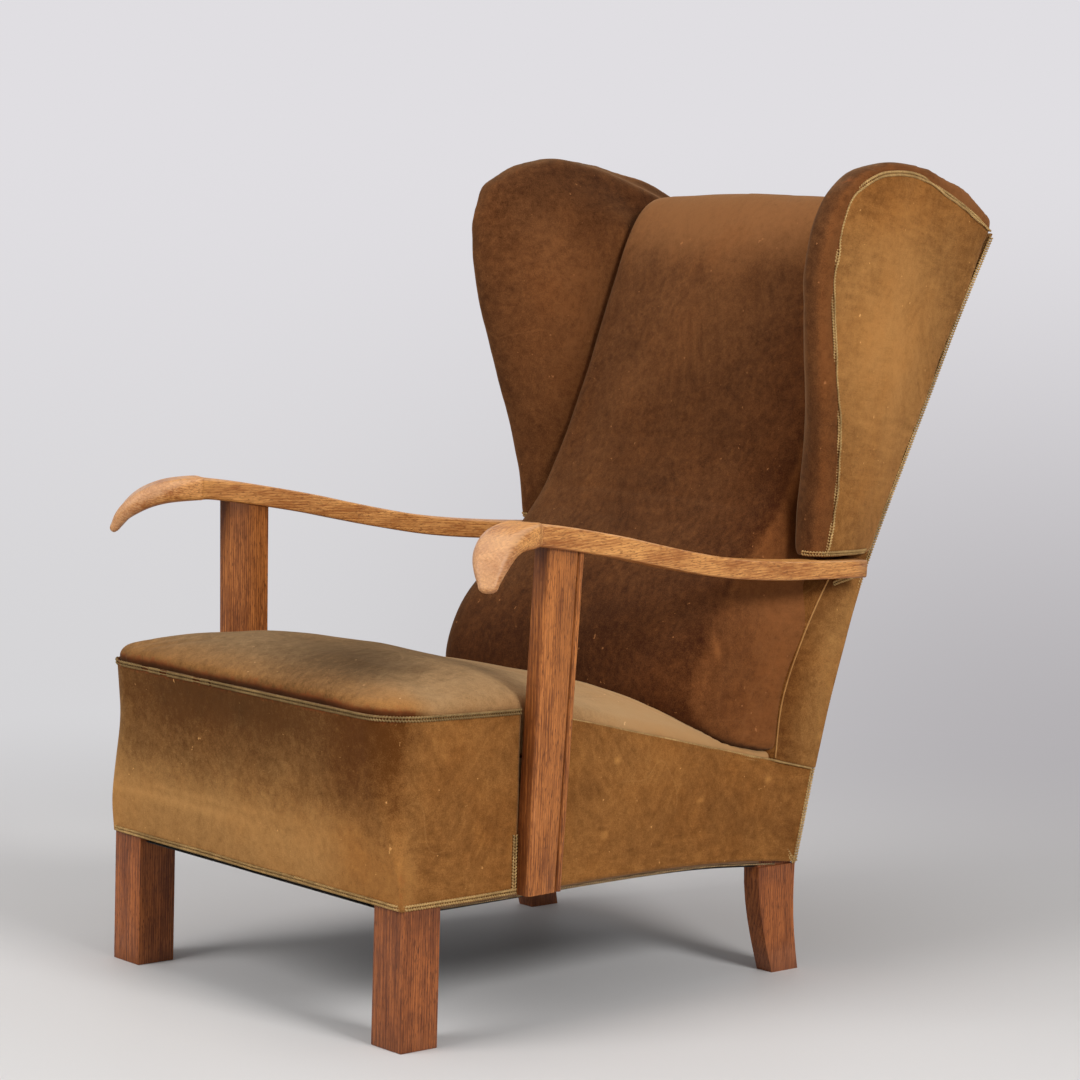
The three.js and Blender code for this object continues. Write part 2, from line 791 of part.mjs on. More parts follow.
// Wedge of wadding between the frame and the leaning front cover
function frontWadding() {
  const half = legInner - gap;
  const heights = between(seatBottomFront + gap, railUpper(frontRailRear) - gap, 3);
  return mappedSolid([-half, half], heights, [0, 1], (x, z, back) => [
    x, mix(seatFrontY(z) + coverThickness + gap, legInset - gap, back), z,
  ]);
}

// Springs, hessian, webbing and dust cloth inside the seat
class Coil extends THREE.Curve {
  constructor(x, y, under, upper) {
    super();
    Object.assign(this, { x, y, under, upper });
  }

  getPoint(t, target = new THREE.Vector3()) {
    const radius = mix(springWaistRadius, springEndRadius, (2 * t - 1) ** 2);
    const turn = t * springTurns * 2 * Math.PI;
    const z = mix(this.under, this.upper, t);
    return target.set(this.x + radius * Math.cos(turn), this.y + radius * Math.sin(turn), z);
  }
}

function seatSpring(column, row) {
  const y = mix(webbingFrontY, webbingRearY, row / webbingCells);
  const half = seatWebbingHalf(y);
  const x = mix(-half, half, column / webbingCells);
  const under = webbingUpper(y) + gap + springWire;
  const upper = seatDeck(y) - hessianThickness - gap - springWire;
  const wire = new THREE.Shape(between(0, 2 * Math.PI, wireSides).slice(0, -1).map((turn) => (
    new THREE.Vector2(springWire * Math.cos(turn), springWire * Math.sin(turn)))));
  const steps = springTurns * springStepsPerTurn;
  const extrudePath = new Coil(x, y, under, upper);
  return outward(mergeVertices(strip(new THREE.ExtrudeGeometry(wire, { steps, extrudePath })), 1e-4));
}

const webbingUpper = (y) => railUnder(y) - gap;
const seatWebbingHalf = (y) => sideRailOuter(y) - gap;
const webbingFrontY = frontRailY + gap;
const webbingRearY = rearRailY + railThickness - gap;

// Where the straps' edges cross, from one end to the other
function strapLines(from, to) {
  const half = webbingStrap / 2;
  const middles = between(from, to, webbingCells).slice(1, -1);
  return [from, from + half, ...middles.flatMap((middle) => [middle - half, middle + half]), to - half, to];
}

// Straps woven both ways, cut from a sheet and then laid in place
function lattice(half, from, to, place) {
  const lines = strapLines(from, to);
  const rim = lines.map((y) => [half(y), y]);
  const slab = prism([...rim, ...rim.map(([x, y]) => [-x, y]).reverse()], 0, 1);
  const cells = [];
  for (let j = 1; j < lines.length - 1; j += 2) {
    const [under, upper] = [lines[j], lines[j + 1]].map((y) => strapLines(-half(y), half(y)));
    for (let i = 1; i < under.length - 1; i += 2) {
      const [from0, to0] = [lines[j], lines[j + 1]];
      const corners = [[under[i], from0], [under[i + 1], from0], [upper[i + 1], to0], [upper[i], to0]];
      cells.push(prism(corners, -overrun, overrun + overrun));
    }
  }
  const sheet = cut(slab, ...cells);
  const position = sheet.getAttribute('position');
  for (let i = 0; i < position.count; i += 1) {
    position.setXYZ(i, ...place(position.getX(i), position.getY(i), position.getZ(i)));
  }
  return outward(sheet);
}

function seatWebbing() {
  const sheet = lattice(seatWebbingHalf, webbingFrontY, webbingRearY, (x, y, up) => [
    x, y, webbingUpper(y) - webbingThickness + up * webbingThickness,
  ]);
  return cut(sheet, ...bothSides(frontLeg(gap)), ...bothSides(rearLeg(gap)));
}

// How far the webbing's front lies from the rear of the uprights
const backWebbingReach = gap + backRailDepth + webbingRoom + webbingThickness;

function backWebbing() {
  const half = () => backWebbingHalf;
  return lattice(half, backWebbingFrom, topRailUnder + webbingOnTopRail, (x, z, back) => [
    x, uprightRear(z) - backWebbingReach + back * webbingThickness, z,
  ]);
}

function seatHessian() {
  const inset = coverThickness + hessianMargin;
  const far = uprightFront(seatDeck(seatRearY)) - gap;
  const along = [frontRailY, legDepth, ...between(postFrontY, far, 5)];
  const sheet = mappedSolid([-1, 0, 1], along, [0, hessianThickness], (a, y, down) => {
    const front = seatFrontY(seatDeck(0)) + inset;
    const radius = seatCorner(seatDeck(0)) - inset;
    const [p] = roundCorner(0, y - front, radius);
    return [a * (seatSide(y) - inset - p), y, seatDeck(y) - down];
  });
  return cut(sheet, ...bothSides(postBlank(gap)), ...bothSides(rearLeg(gap)));
}

function dustCloth() {
  const upper = (y) => webbingUpper(y) - webbingThickness - dustClothRoom;
  const along = strapLines(webbingFrontY, webbingRearY);
  const sheet = mappedSolid([-1, 0, 1], along, [0, dustClothThickness], (a, y, down) => [
    a * (sideRailOuter(y) - dustClothMargin), y, upper(y) - down,
  ]);
  return cut(sheet, ...bothSides(frontLeg(gap)), ...bothSides(rearLeg(gap)), ...bothSides(postBlank(gap)));
}

// Inside back
const backFace = new THREE.SplineCurve(backFaceShares.map(([y, z]) => new THREE.Vector2(
  mix(lumbarY, backEdgeTopY, y),
  mix(backTuckHeight, backCrestHeight, z),
)));

function backFaceAt(height) {
  let [low, high] = [backLowShare, backHighShare];
  for (let i = 0; i < backSearchSteps; i += 1) {
    const middle = (low + high) / 2;
    if (backFace.getPoint(middle).y < height) low = middle;
    else high = middle;
  }
  return backFace.getPoint(low).x;
}

const backWidth = (z) => mix(lumbarHalf, backHalf, smooth((z - lumbarEnds) / (backStarts - lumbarEnds)));

function backRound(z) {
  const upper = mix(lumbarCorner, backCorner, smooth((z - lumbarEnds) / (backStarts - lumbarEnds)));
  return mix(tuckCorner, upper, smooth((z - backTuckHeight) / (tuckRoundTo - backTuckHeight)));
}

const backUpShares = between(0, 1, 20);

function backRearPoint(v, face, inset) {
  const z = Math.min(Math.max(face.y, backTuckHeight + inset), topRailUnder);
  const overRail = clamp01((v - overRailFrom) / (1 - overRailFrom));
  const raked = uprightRear(z) - backWebbingReach - railRoom;
  if (!overRail) return [raked, z];
  const atTop = uprightRear(backPadRearTop) - gap;
  const climb = smooth(overRail / overRailClimb);
  return [mix(raked, atTop, overRail ** backPadRearPower), mix(z, backPadRearTop, climb)];
}

function backBody(inset = 0, opened = false) {
  const sides = [...negated(backAcrossShares), 0, ...backAcrossShares];
  const depths = opened ? [0, 1, 2] : [0, 1];
  return mappedSolid(sides, backUpShares, depths, (a, v, back) => {
    const face = backFace.getPoint(v);
    const along = backFace.getTangent(v);
    const half = backWidth(face.y) - inset;
    const radius = Math.max(backRound(face.y) - inset, gap);
    const [rearY, rearZ] = backRearPoint(v, face, inset);
    const x = Math.abs(a) * half;
    const eased = mix(1, padEndShare, smooth((v - padEaseFrom) / (1 - padEaseFrom)));
    const drop = inset + eased * (backCrown * (x / half) ** 2 + radius - radius * rolled(half - x, radius));
    const front = [face.x + along.y * drop, face.y - along.x * drop];
    if (back > 1) return [Math.sign(a) * x, rearY + overrun, rearZ - (v < 1 ? coverThickness : 0)];
    if (back) return [Math.sign(a) * x, rearY, rearZ];
    return [Math.sign(a) * x, ...front];
  });
}

function backCover() {
  return cut(
    backBody(),
    backBody(coverThickness, true),
    ...bothSides(sidePanelBlank(gap, overrun)),
    ...bothSides(rearLeg(gap)),
  );
}

function backStuffing() {
  return cut(
    backBody(coverThickness + padRoom),
    ...bothSides(sidePanelBlank(gap, overrun)),
    ...bothSides(rearLeg(gap)),
    ...bothSides(armScrew(gap)),
  );
}

// Lower side panels, from the seam of the inside back to the rear edge
const sideSeamFollow = follow(sideSeamShares);

const sidePanelTop = wingBottomRear - gap;

function sidePanelBlank(grow = 0, outside = 0) {
  const seam = (z) => mix(
    sideSeamLowY,
    sideSeamTopY,
    sideSeamFollow(clamp01((z - sideSeamLowHeight) / (sideSeamTopHeight - sideSeamLowHeight))),
  );
  return mappedSolid(between(0, 1, 2), between(0, 1, 6), [0, 1], (along, up, inward) => {
    const height = (y) => mix(seatEdge(y) + gap, sidePanelTop, up);
    const front = seam(height(sideSeamLowY));
    const rear = uprightRear(height(backEdgeLowY));
    const y = mix(front - grow, uprightRear(height(rear)) + grow, along);
    const z = height(y) + Math.sign(up - 1 / 2) * grow;
    return [mix(rearHalf(z) + outside, rearHalf(z) - coverThickness - grow, inward), y, z];
  });
}

function sidePanel() {
  return cut(sidePanelBlank(), arm([-gap, gap, -gap]), arm([-gap, gap, gap]), armScrew(gap));
}

function outsideBackCover() {
  return mappedSolid([-1, 0, 1], between(0, 1, 14), [0, coverThickness], (a, up, forward) => {
    const z = mix(seatBottomRear + gap + gap, backEdgeTop, up);
    return [a * rearHalf(z), rearEdgeY(z) - forward, z];
  });
}

// Wings: a side view between four edges, and a thickness that rolls over at the front and along the top
const wingReach = backEdgeTopY - wingFrontY;
const wingHeight = wingCrest - wingBottomFront;
const wingCurve = (shares) => new THREE.SplineCurve(shares.map(([y, z]) => new THREE.Vector2(
  wingFrontY + wingReach * y,
  wingBottomFront + wingHeight * z,
)));
const wingFront = wingCurve(wingFrontShares);
const wingTop = wingCurve(wingTopShares);
const wingFlareFollow = follow(wingFlareShares);
const wingRearAt = (z) => new THREE.Vector2(rearEdgeY(z) - coverThickness - gap, z);
const wingTopRear = wingTop.getPoint(1).y;

function wingSideView(a, b) {
  const front = wingFront.getPoint(b);
  const rear = wingRearAt(mix(wingBottomRear, wingTopRear, b));
  const top = wingTop.getPoint(a);
  const bottom = wingFront.getPoint(0).lerp(wingRearAt(wingBottomRear), a);
  const topChord = wingFront.getPoint(1).lerp(wingRearAt(wingTopRear), a);
  const corners = bottom.clone().lerp(topChord, b);
  return bottom.lerp(top, b).add(front.lerp(rear, a)).sub(corners);
}

function wingBorder(z) {
  return mix(wingBorderLow, wingBorderTop, wingFlareFollow(clamp01((z - wingBottomFront) / wingHeight)));
}

function wingFaces(a, b, z) {
  const seamY = backFaceAt(Math.min(z, backCrestHeight - backCorner)) + backCrown + backCorner / 2;
  const front = wingFront.getPoint(b).x;
  const rear = wingRearAt(mix(wingBottomRear, wingTopRear, b)).x;
  const seamShare = Math.max((seamY - front) / (rear - front), seamShareLeast);
  const outer = mix(wingBorder(z) + wingRoll, rearHalf(Math.min(z, backEdgeTop)), a);
  const beside = 1 - smooth((z - wingRidgeFrom) / (wingRidgeTo - wingRidgeFrom));
  const inner = mix(outer - wingRoll - wingRoll, backHalf + gap, smooth(a / seamShare) * beside);
  return [inner, outer + wingBulge * Math.sin(Math.PI * a)];
}

// Shares of the wing at a distance in from its front and top edges
function inFromFront(distance, b) {
  return distance / (wingRearAt(mix(wingBottomRear, wingTopRear, b)).x - wingFront.getPoint(b).x);
}

function inFromTop(distance, a) {
  return distance / (wingTop.getPoint(a).y - mix(wingBottomFront, wingBottomRear, a));
}

function wingSolid({ inset = 0, below = 0, behind = 0 }) {
  const radius = wingRoll - inset;
  const fill = between(0, 1, 5).slice(1);
  const fronts = [...rollShares.map((s) => ({ s, t: 0 })), ...fill.map((t) => ({ s: 1, t }))];
  const rows = between(0, 1, 7).slice(0, -1).map((t) => ({ s: 1, t }));
  const tops = [...rows, ...[...rollShares].reverse().map((s) => ({ s, t: 1 }))];
  if (behind) fronts.push({ s: 1, t: 1, further: behind });
  if (below) tops.unshift({ s: 1, t: 0, lower: below });
  const indexes = (list) => list.map((_, i) => i);
  return mappedSolid(indexes(fronts), indexes(tops), [-1, 1], (i, j, c) => {
    const frontStep = fronts[i];
    const topStep = tops[j];
    const b0 = topStep.t;
    const a0 = mix(inFromFront(inset + radius * frontStep.s, b0), 1, frontStep.t);
    const b = mix(0, 1 - inFromTop(inset + radius * topStep.s, a0), b0);
    const a = mix(inFromFront(inset + radius * frontStep.s, b), 1, frontStep.t);
    const side = wingSideView(a, b);
    const [inner, outer] = wingFaces(a, b, side.y);
    const downIn = topStep.t === 1 ? 1 - topStep.s : 0;
    const edge = Math.min(Math.hypot(1 - frontStep.s, downIn), wingRollFloorShare);
    const dip = (radius - radius * Math.sqrt(1 - edge ** 2)) * mix(1, wingRearRollShare, a);
    const fall = c < 0 ? wingInnerFall * a * b : 0;
    const slide = a * (rearEdgeY(side.y) - rearEdgeY(side.y - fall));
    const y = side.x - slide + (frontStep.further ?? 0);
    const z = side.y - fall - (topStep.lower ?? 0);
    return [c > 0 ? outer - inset - dip : inner + inset + dip, y, z];
  });
}

// The part of the wing's outside that the flat outer panel covers, as a cutting tool
function wingPanelTool(grow = 0) {
  const inset = wingPanelInset - grow;
  const topInset = wingPanelTopInset - grow;
  const columns = [...between(0, 1, 7), 2];
  const rows = [-1, ...between(0, 1, 9)];
  return mappedSolid(columns, rows, [0, 1], (column, row, out) => {
    const i = Math.min(column, 1);
    const j = Math.max(row, 0);
    const b0 = j * (1 - inFromTop(topInset, 1 / 2));
    const a = mix(inFromFront(inset, b0), 1, i);
    const b = j * (1 - inFromTop(topInset, a));
    const side = wingSideView(a, b);
    const [inner, outer] = wingFaces(a, b, side.y);
    const y = side.x + (column > 1 ? overrun : 0);
    const z = side.y - (row < 0 ? overrun : 0);
    const floor = mix(outer, Math.max(inner, outer - wingRoll), wingPanelDepthShare);
    return [mix(floor, outer + overrun, out), y, z];
  });
}

function wingShell() {
  return cut(wingSolid({}), wingSolid({ inset: coverThickness, below: overrun, behind: overrun }));
}

const wingCover = () => cut(wingShell(), wingPanelTool(gap), rearLeg(gap), topRail(gap, false));
const wingPanel = () => common(wingShell(), wingPanelTool());

// A member of the wing's frame; grow widens it all round for the room it needs
function wingMember({ from, to, under, upper, columns, rows, grow }) {
  const out = (share) => (share === 1 ? grow : 0) - (share === 0 ? grow : 0);
  return mappedSolid(columns, rows, [-1, 1], (i, j, c) => {
    const b = mix(under, upper, j);
    const a = mix(from(b), to(b), i);
    const side = wingSideView(a, b);
    const [inner, outer] = wingFaces(a, b, side.y);
    const middle = Math.max((inner + outer) / 2, outer - wingRoll);
    return [middle + c * (wingFrameThickness / 2 + grow), side.x + out(i), side.y + out(j)];
  });
}

function wingStile(grow = 0) {
  return wingMember({
    from: (b) => inFromFront(wingStileFrom, b),
    to: (b) => inFromFront(wingStileFrom + wingStileWidth, b),
    under: 0,
    upper: stileTopShare,
    columns: [0, 1],
    rows: between(0, 1, 9),
    grow,
  });
}

function wingTopRail(grow = 0) {
  const end = 1 - inFromFront(uprightDepthTop + gap + gap, 1);
  return wingMember({
    from: (b) => inFromFront(wingStileFrom + wingStileWidth + wingFrameRoom, b),
    to: () => end,
    under: stileTopShare - railInShare,
    upper: stileTopShare,
    columns: between(0, 1, 6),
    rows: [0, 1],
    grow,
  });
}

function wingStuffing() {
  return cut(
    wingSolid({ inset: coverThickness + gap }),
    wingStile(wingFrameRoom),
    wingTopRail(wingFrameRoom),
    rearLeg(gap),
    topRail(gap, false),
    topRail(gap, true),
  );
}

// Braid along the seat's edge
function frontBraid() {
  return mappedSolid(coverRun, [-1, 1], [0, 1], (share, up, out) => {
    const [x, y] = frontOutline(share, seatEdgeFront, -braidRoom - out * braidThickness);
    return [x, y, seatEdge(Math.max(0, y)) + up * braidWidth / 2];
  });
}

function sideBraid() {
  const from = postFrontY + postDepthTop + gap + gap + gap;
  const run = between(from, seatEdgeRearY - coverThickness - gap, 9);
  return mappedSolid(run, [-1, 1], [0, 1], (y, up, out) => [
    seatSide(y) + braidRoom + out * braidThickness, y, seatEdge(y) + up * braidWidth / 2,
  ]);
}

// Finishes
const finish = (color, roughness) => () => new THREE.MeshStandardMaterial({ color, roughness, metalness: 0 });
const oak = finish(0x9a5f30, 0.5);
const darkOak = finish(0x7d4426, 0.55);
const beech = finish(0xb08a5c, 0.7);
const goldVelour = finish(0x7d6238, 0.95);
const brownVelour = finish(0x5a3a20, 0.95);
const seatVelour = finish(0x74613f, 0.95);
const braid = finish(0x8a7448, 0.9);
const jute = finish(0xa58b5f, 0.95);
const hair = finish(0x4a3b2c, 1);
const blackCloth = finish(0x2b2724, 0.95);
const steel = () => new THREE.MeshStandardMaterial({ color: 0x8c8f92, roughness: 0.4, metalness: 1 });

const chair = new THREE.Group();

function add(name, geometry, material) {
  const mesh = new THREE.Mesh(geometry, material());
  mesh.name = name;
  chair.add(mesh);
}

function addPair(name, geometry, material) {
  add(`${name}_left`, geometry, material);
  add(`${name}_right`, mirrored(geometry), material);
}

addPair('front_leg', cut(frontLeg(), frontRailTenon(gap), sideRailFrontTenon(gap)), darkOak);
addPair('rear_leg', cut(
  rearLeg(),
  sideRailRearTenon(gap),
  rearRailTenon(gap),
  topRail(gap, true),
  stayRail(gap, true),
  armScrew(gap),
), darkOak);
add('front_rail', frontRail(), beech);
addPair('side_rail', cut(sideRail(), postBolt(gap), postBlank(gap)), beech);
add('rear_rail', rearRail(), beech);
addPair('front_corner_block', frontBlock(), beech);
addPair('rear_corner_block', rearBlock(), beech);
add('back_top_rail', join(topRail(0, false), topRail(0, true)), beech);
add('back_stay_rail', join(stayRail(0, false), stayRail(0, true)), beech);
addPair('wing_stile', wingStile(), beech);
addPair('wing_top_rail', wingTopRail(), beech);
addPair('arm', cut(arm(), postTenon(gap), armScrew(gap)), oak);
addPair('arm_post', cut(armPost(), postBolt(gap)), oak);
addPair('post_bolt', postBolt(), steel);
addPair('arm_screw', armScrew(), steel);

add('seat_webbing', seatWebbing(), jute);
for (let row = 1; row < webbingCells; row += 1) {
  for (let column = 1; column < webbingCells; column += 1) {
    add(`seat_spring_${row}_${column}`, seatSpring(column, row), steel);
  }
}
add('seat_hessian', seatHessian(), jute);
add('seat_stuffing', seatStuffing(), hair);
add('front_wadding', frontWadding(), hair);
add('back_webbing', backWebbing(), jute);
add('back_stuffing', backStuffing(), hair);
addPair('wing_stuffing', wingStuffing(), hair);
add('dust_cloth', dustCloth(), blackCloth);

add('seat_cover', seatCover(), seatVelour);
add('front_cover', frontCover(), goldVelour);
addPair('side_cover', sideCover(), goldVelour);
add('back_cover', backCover(), brownVelour);
addPair('side_panel', sidePanel(), goldVelour);
add('outside_back_cover', outsideBackCover(), goldVelour);
addPair('wing_cover', wingCover(), brownVelour);
addPair('wing_panel', wingPanel(), goldVelour);
add('front_braid', frontBraid(), braid);
addPair('side_braid', sideBraid(), braid);

// The origin is at floor level, midway between the foremost and rearmost points
const foremost = seatFrontY(seatEdgeFront) - braidRoom - braidThickness;
chair.position.y = -(foremost + backEdgeTopY) / 2;

export default chair;
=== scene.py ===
import json
import math

import bmesh
import bpy
import numpy as np
from mathutils import Matrix, Vector, noise
from mathutils.bvhtree import BVHTree

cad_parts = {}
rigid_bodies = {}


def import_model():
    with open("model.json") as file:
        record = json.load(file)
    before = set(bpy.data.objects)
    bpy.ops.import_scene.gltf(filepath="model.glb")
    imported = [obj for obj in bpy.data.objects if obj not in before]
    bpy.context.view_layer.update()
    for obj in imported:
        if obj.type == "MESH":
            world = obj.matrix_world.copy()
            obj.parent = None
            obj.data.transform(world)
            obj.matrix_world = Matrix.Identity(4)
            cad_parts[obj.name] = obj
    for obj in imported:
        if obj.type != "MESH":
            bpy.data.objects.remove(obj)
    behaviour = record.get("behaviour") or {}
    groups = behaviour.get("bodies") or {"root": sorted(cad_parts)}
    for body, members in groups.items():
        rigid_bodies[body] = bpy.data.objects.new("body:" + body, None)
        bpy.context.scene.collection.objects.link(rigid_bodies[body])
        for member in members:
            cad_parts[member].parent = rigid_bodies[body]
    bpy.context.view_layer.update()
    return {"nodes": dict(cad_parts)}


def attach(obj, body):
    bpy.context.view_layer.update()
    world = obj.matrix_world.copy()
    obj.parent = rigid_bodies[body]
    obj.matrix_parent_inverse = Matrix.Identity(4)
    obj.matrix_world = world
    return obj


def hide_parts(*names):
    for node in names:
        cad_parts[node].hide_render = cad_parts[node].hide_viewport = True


bl_info = {
    "name": "Wingback Armchair",
    "version": (1, 0, 0),
    "blender": (4, 5, 0),
    "location": "3D View > Sidebar > Armchair",
    "description": "Covers, wood, braid and studio for a wingback armchair on its packed frame",
    "category": "Object",
}

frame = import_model()
NODES = frame["nodes"]

# Points closer than this become one, and edges sharper than this stay sharp
MERGE = 1e-5
SHARP = math.radians(60)
# Passes that even out the gaps to the CAD walls, the share of a known gap kept in each, and the furthest moves
FILL_PASSES = 24
FILL_HOLD = 0.3
FILL_REACH = (-0.006, 0.009)
# Frames that the cloth under pressure runs
SWELL_FRAMES = 20
# What the materials read from each piece, and its value where nothing is painted; tone also carries painted
# light and painted shade, wear also painted highlights on the wood, and soil also painted shade and painted
# shadows
PAINTED = {"tone": 0.5, "warm": 0.0, "wear": 0.0, "soil": 0.0}
SIDES = {"left": 1, "right": -1}

# ---------------------------------------------------------------- settings


def length(name, text, value):
    return bpy.props.FloatProperty(name=name, description=text, default=value, unit="LENGTH", precision=4)


def share(name, text, value):
    return bpy.props.FloatProperty(name=name, description=text, default=value, subtype="FACTOR", min=0, max=1)


def plain(name, text, value):
    return bpy.props.FloatProperty(name=name, description=text, default=value)


def angle(name, text, degrees):
    return bpy.props.FloatProperty(name=name, description=text, default=math.radians(degrees), subtype="ANGLE")


def linear(shade):
    """A colour from 0 to 255 per channel as the linear colour that Blender keeps."""
    parts = [c / 255 for c in shade]
    return [p / 12.92 if p <= 0.04045 else ((p + 0.055) / 1.055) ** 2.4 for p in parts]


def colour(name, text, shade):
    return bpy.props.FloatVectorProperty(
        name=name, description=text, default=linear(shade), subtype="COLOR", size=3, min=0, max=1
    )


class ArmchairSizes(bpy.types.PropertyGroup):
    braid_width: length("Braid width", "Width of the braid over both rows of stitches", 0.0076)
    braid_stitch: length("Braid stitch", "Distance from one stitch of the braid to the next", 0.0037)
    braid_slant: plain("Braid slant", "How steeply the stitches lean to the side", 1.0)
    pad_voxel: length("Pad voxel", "Grain of the padded forms before they are smoothed", 0.006)
    swell: length("Swell", "How far the padding may push a cover out", 0.006)
    rear_fullness: length("Rear fullness", "How much fuller the seat is where it meets the back", 0.011)
    unevenness: length("Unevenness", "Height of the covers' soft lumps", 0.0012)
    edge_ease: length("Edge ease", "Rounding of the wooden edges", 0.0022)
    bead: length("Bead", "Width of the bead along the rear edge of the arm posts", 0.0085)


class ArmchairColours(bpy.types.PropertyGroup):
    # Each velour is mixed between its lit colour and its shaded colour, by noise and by the painted tone; the
    # shaded colour stands in for the cloth in shade as well as for crushed pile
    gold: colour("Gold velour", "Outside of the wings and of the seat box", (186, 138, 82))
    gold_shade: colour("Gold velour, shaded", "The same cloth where the pile is crushed", (88, 54, 24))
    seat: colour("Seat velour", "Top of the seat", (176, 140, 98))
    seat_shade: colour("Seat velour, shaded", "The same cloth where the pile is crushed", (76, 54, 32))
    brown: colour("Brown velour", "Inside of the back and wings", (136, 89, 52))
    brown_shade: colour("Brown velour, shaded", "The same cloth where the pile is crushed", (50, 24, 11))
    nap: colour("Worn nap", "Worn edges of the velour", (138, 70, 34))
    oak: colour("Oak", "Arms", (226, 162, 92))
    oak_dark: colour("Oak grain", "Pores and late wood of the arms", (156, 92, 42))
    post: colour("Post", "Arm posts", (198, 122, 60))
    post_dark: colour("Post grain", "Pores and late wood of the arm posts", (112, 58, 22))
    leg: colour("Leg", "Legs", (176, 102, 52))
    leg_dark: colour("Leg grain", "Pores and late wood of the legs", (98, 48, 22))
    braid: colour("Braid", "Twisted braid", (206, 168, 110))
    braid_dark: colour("Braid, soiled", "Soiled strands of the braid", (136, 106, 66))


class ArmchairStudio(bpy.types.PropertyGroup):
    camera_x: length("Camera X", "Camera position across the chair", 3.10135)
    camera_y: length("Camera Y", "Camera position along the chair", -2.74898)
    camera_z: length("Camera Z", "Camera height", 0.95983)
    turn: angle("Turn", "Camera's turn round the chair", 48.67)
    pitch: angle("Pitch", "How far the camera looks down", 5.745)
    roll: angle("Roll", "Camera's roll", 1.672)
    lens: plain("Lens", "Focal length in millimetres on a sensor 36 millimetres wide", 107.655)
    backdrop: colour("Backdrop", "Background at the top of the view", (224, 222, 226))
    backdrop_left: colour("Backdrop, left", "Background above the floor at the view's left", (213, 212, 214))
    backdrop_low: colour("Backdrop, right", "Background above the floor at the view's right", (179, 176, 179))
    floor: colour("Floor", "Studio floor", (214, 212, 211))
    fill: plain("Fill", "Strength of the plain light all round", 0.27)


# ---------------------------------------------------------------- shader writing


class Socket:
    """An output in a shader that can be written in plain arithmetic."""

    def __init__(self, shader, output):
        self.shader, self.output = shader, output

    def maths(self, operation, other, swapped=False):
        pair = (other, self) if swapped else (self, other)
        return self.shader.node("ShaderNodeMath", {"operation": operation}, {0: pair[0], 1: pair[1]})

    def __add__(self, other):
        return self.maths("ADD", other)

    def __radd__(self, other):
        return self.maths("ADD", other, True)

    def __sub__(self, other):
        return self.maths("SUBTRACT", other)

    def __rsub__(self, other):
        return self.maths("SUBTRACT", other, True)

    def __mul__(self, other):
        return self.maths("MULTIPLY", other)

    def __rmul__(self, other):
        return self.maths("MULTIPLY", other, True)


class Shader:
    """A material, or a world, that is put together node by node."""

    def __init__(self, name, world=False):
        self.material = (bpy.data.worlds if world else bpy.data.materials).new(name)
        self.material.use_nodes = True
        self.tree = self.material.node_tree
        self.surface = self.tree.nodes.get("Principled BSDF")

    def node(self, kind, settings=None, sockets=None, output=0):
        made = self.tree.nodes.new(kind)
        for name, value in (settings or {}).items():
            setattr(made, name, value)
        for name, value in (sockets or {}).items():
            self.fill(made.inputs[name], value)
        return Socket(self, made.outputs[output])

    def fill(self, socket, value):
        if isinstance(value, Socket):
            self.tree.links.new(value.output, socket)
        elif socket.type == "RGBA" and len(value) == 3:
            socket.default_value = (*value, 1)
        else:
            socket.default_value = value

    def set(self, **values):
        for name, value in values.items():
            self.fill(self.surface.inputs[name.replace("_", " ")], value)
        return self.material

    def show(self, factor, first, second, end):
        """Mixes two surfaces, or two backgrounds, into the tree's last node."""
        made = self.tree.nodes.new("ShaderNodeMixShader")
        for socket, value in zip(made.inputs, (factor, first, second)):
            self.fill(socket, value)
        self.tree.links.new(made.outputs[0], end.inputs[0])

    def place(self, stretch=(1, 1, 1), shift=(0, 0, 0), turn=(0, 0, 0), source=None):
        """Object coordinates, or another vector, with a stretch, a turn and a shift."""
        vector = source or self.node("ShaderNodeTexCoord", output="Object")
        sockets = {"Vector": vector, "Scale": stretch, "Location": shift, "Rotation": turn}
        return self.node("ShaderNodeMapping", {}, sockets)

    def grain(self, scale, detail=3, rough=0.5, **placing):
        sockets = {"Vector": self.place(**placing), "Scale": scale, "Detail": detail, "Roughness": rough}
        return self.node("ShaderNodeTexNoise", {}, sockets)

    def brushed(self, scale, turn, shift, run=7):
        """Noise that is drawn out along one direction, as brush marks in a pile."""
        coordinates = self.node("ShaderNodeTexCoord", output="Object")
        sockets = {"Vector": coordinates, "Rotation": turn, "Scale": (1, 1, run), "Location": shift}
        vector = self.node("ShaderNodeMapping", {"vector_type": "TEXTURE"}, sockets)
        sockets = {"Vector": vector, "Scale": scale, "Detail": 5, "Roughness": 0.68}
        return self.node("ShaderNodeTexNoise", {}, sockets)

    def one(self, operation, value):
        return self.node("ShaderNodeMath", {"operation": operation}, {0: value})

    def vector(self, operation, *values, output=0):
        settings = {"operation": operation}
        return self.node("ShaderNodeVectorMath", settings, dict(enumerate(values)), output)

    def painted(self, name):
        return self.node("ShaderNodeAttribute", {"attribute_name": name}, output="Fac")

    def between(self, value, low, high, to_low=0.0, to_high=1.0):
        sockets = {"Value": value, "From Min": low, "From Max": high, "To Min": to_low, "To Max": to_high}
        return self.node("ShaderNodeMapRange", {"interpolation_type": "SMOOTHSTEP"}, sockets)

    def blend(self, factor, first, second, kind="MIX"):
        settings = {"data_type": "RGBA", "blend_type": kind}
        return self.node("ShaderNodeMix", settings, {0: factor, 6: first, 7: second}, output=2)

    def bump(self, height, depth, strength=1.0, below=None):
        sockets = {"Height": height, "Distance": depth, "Strength": strength}
        if below is not None:
            sockets["Normal"] = below
        return self.node("ShaderNodeBump", {}, sockets)


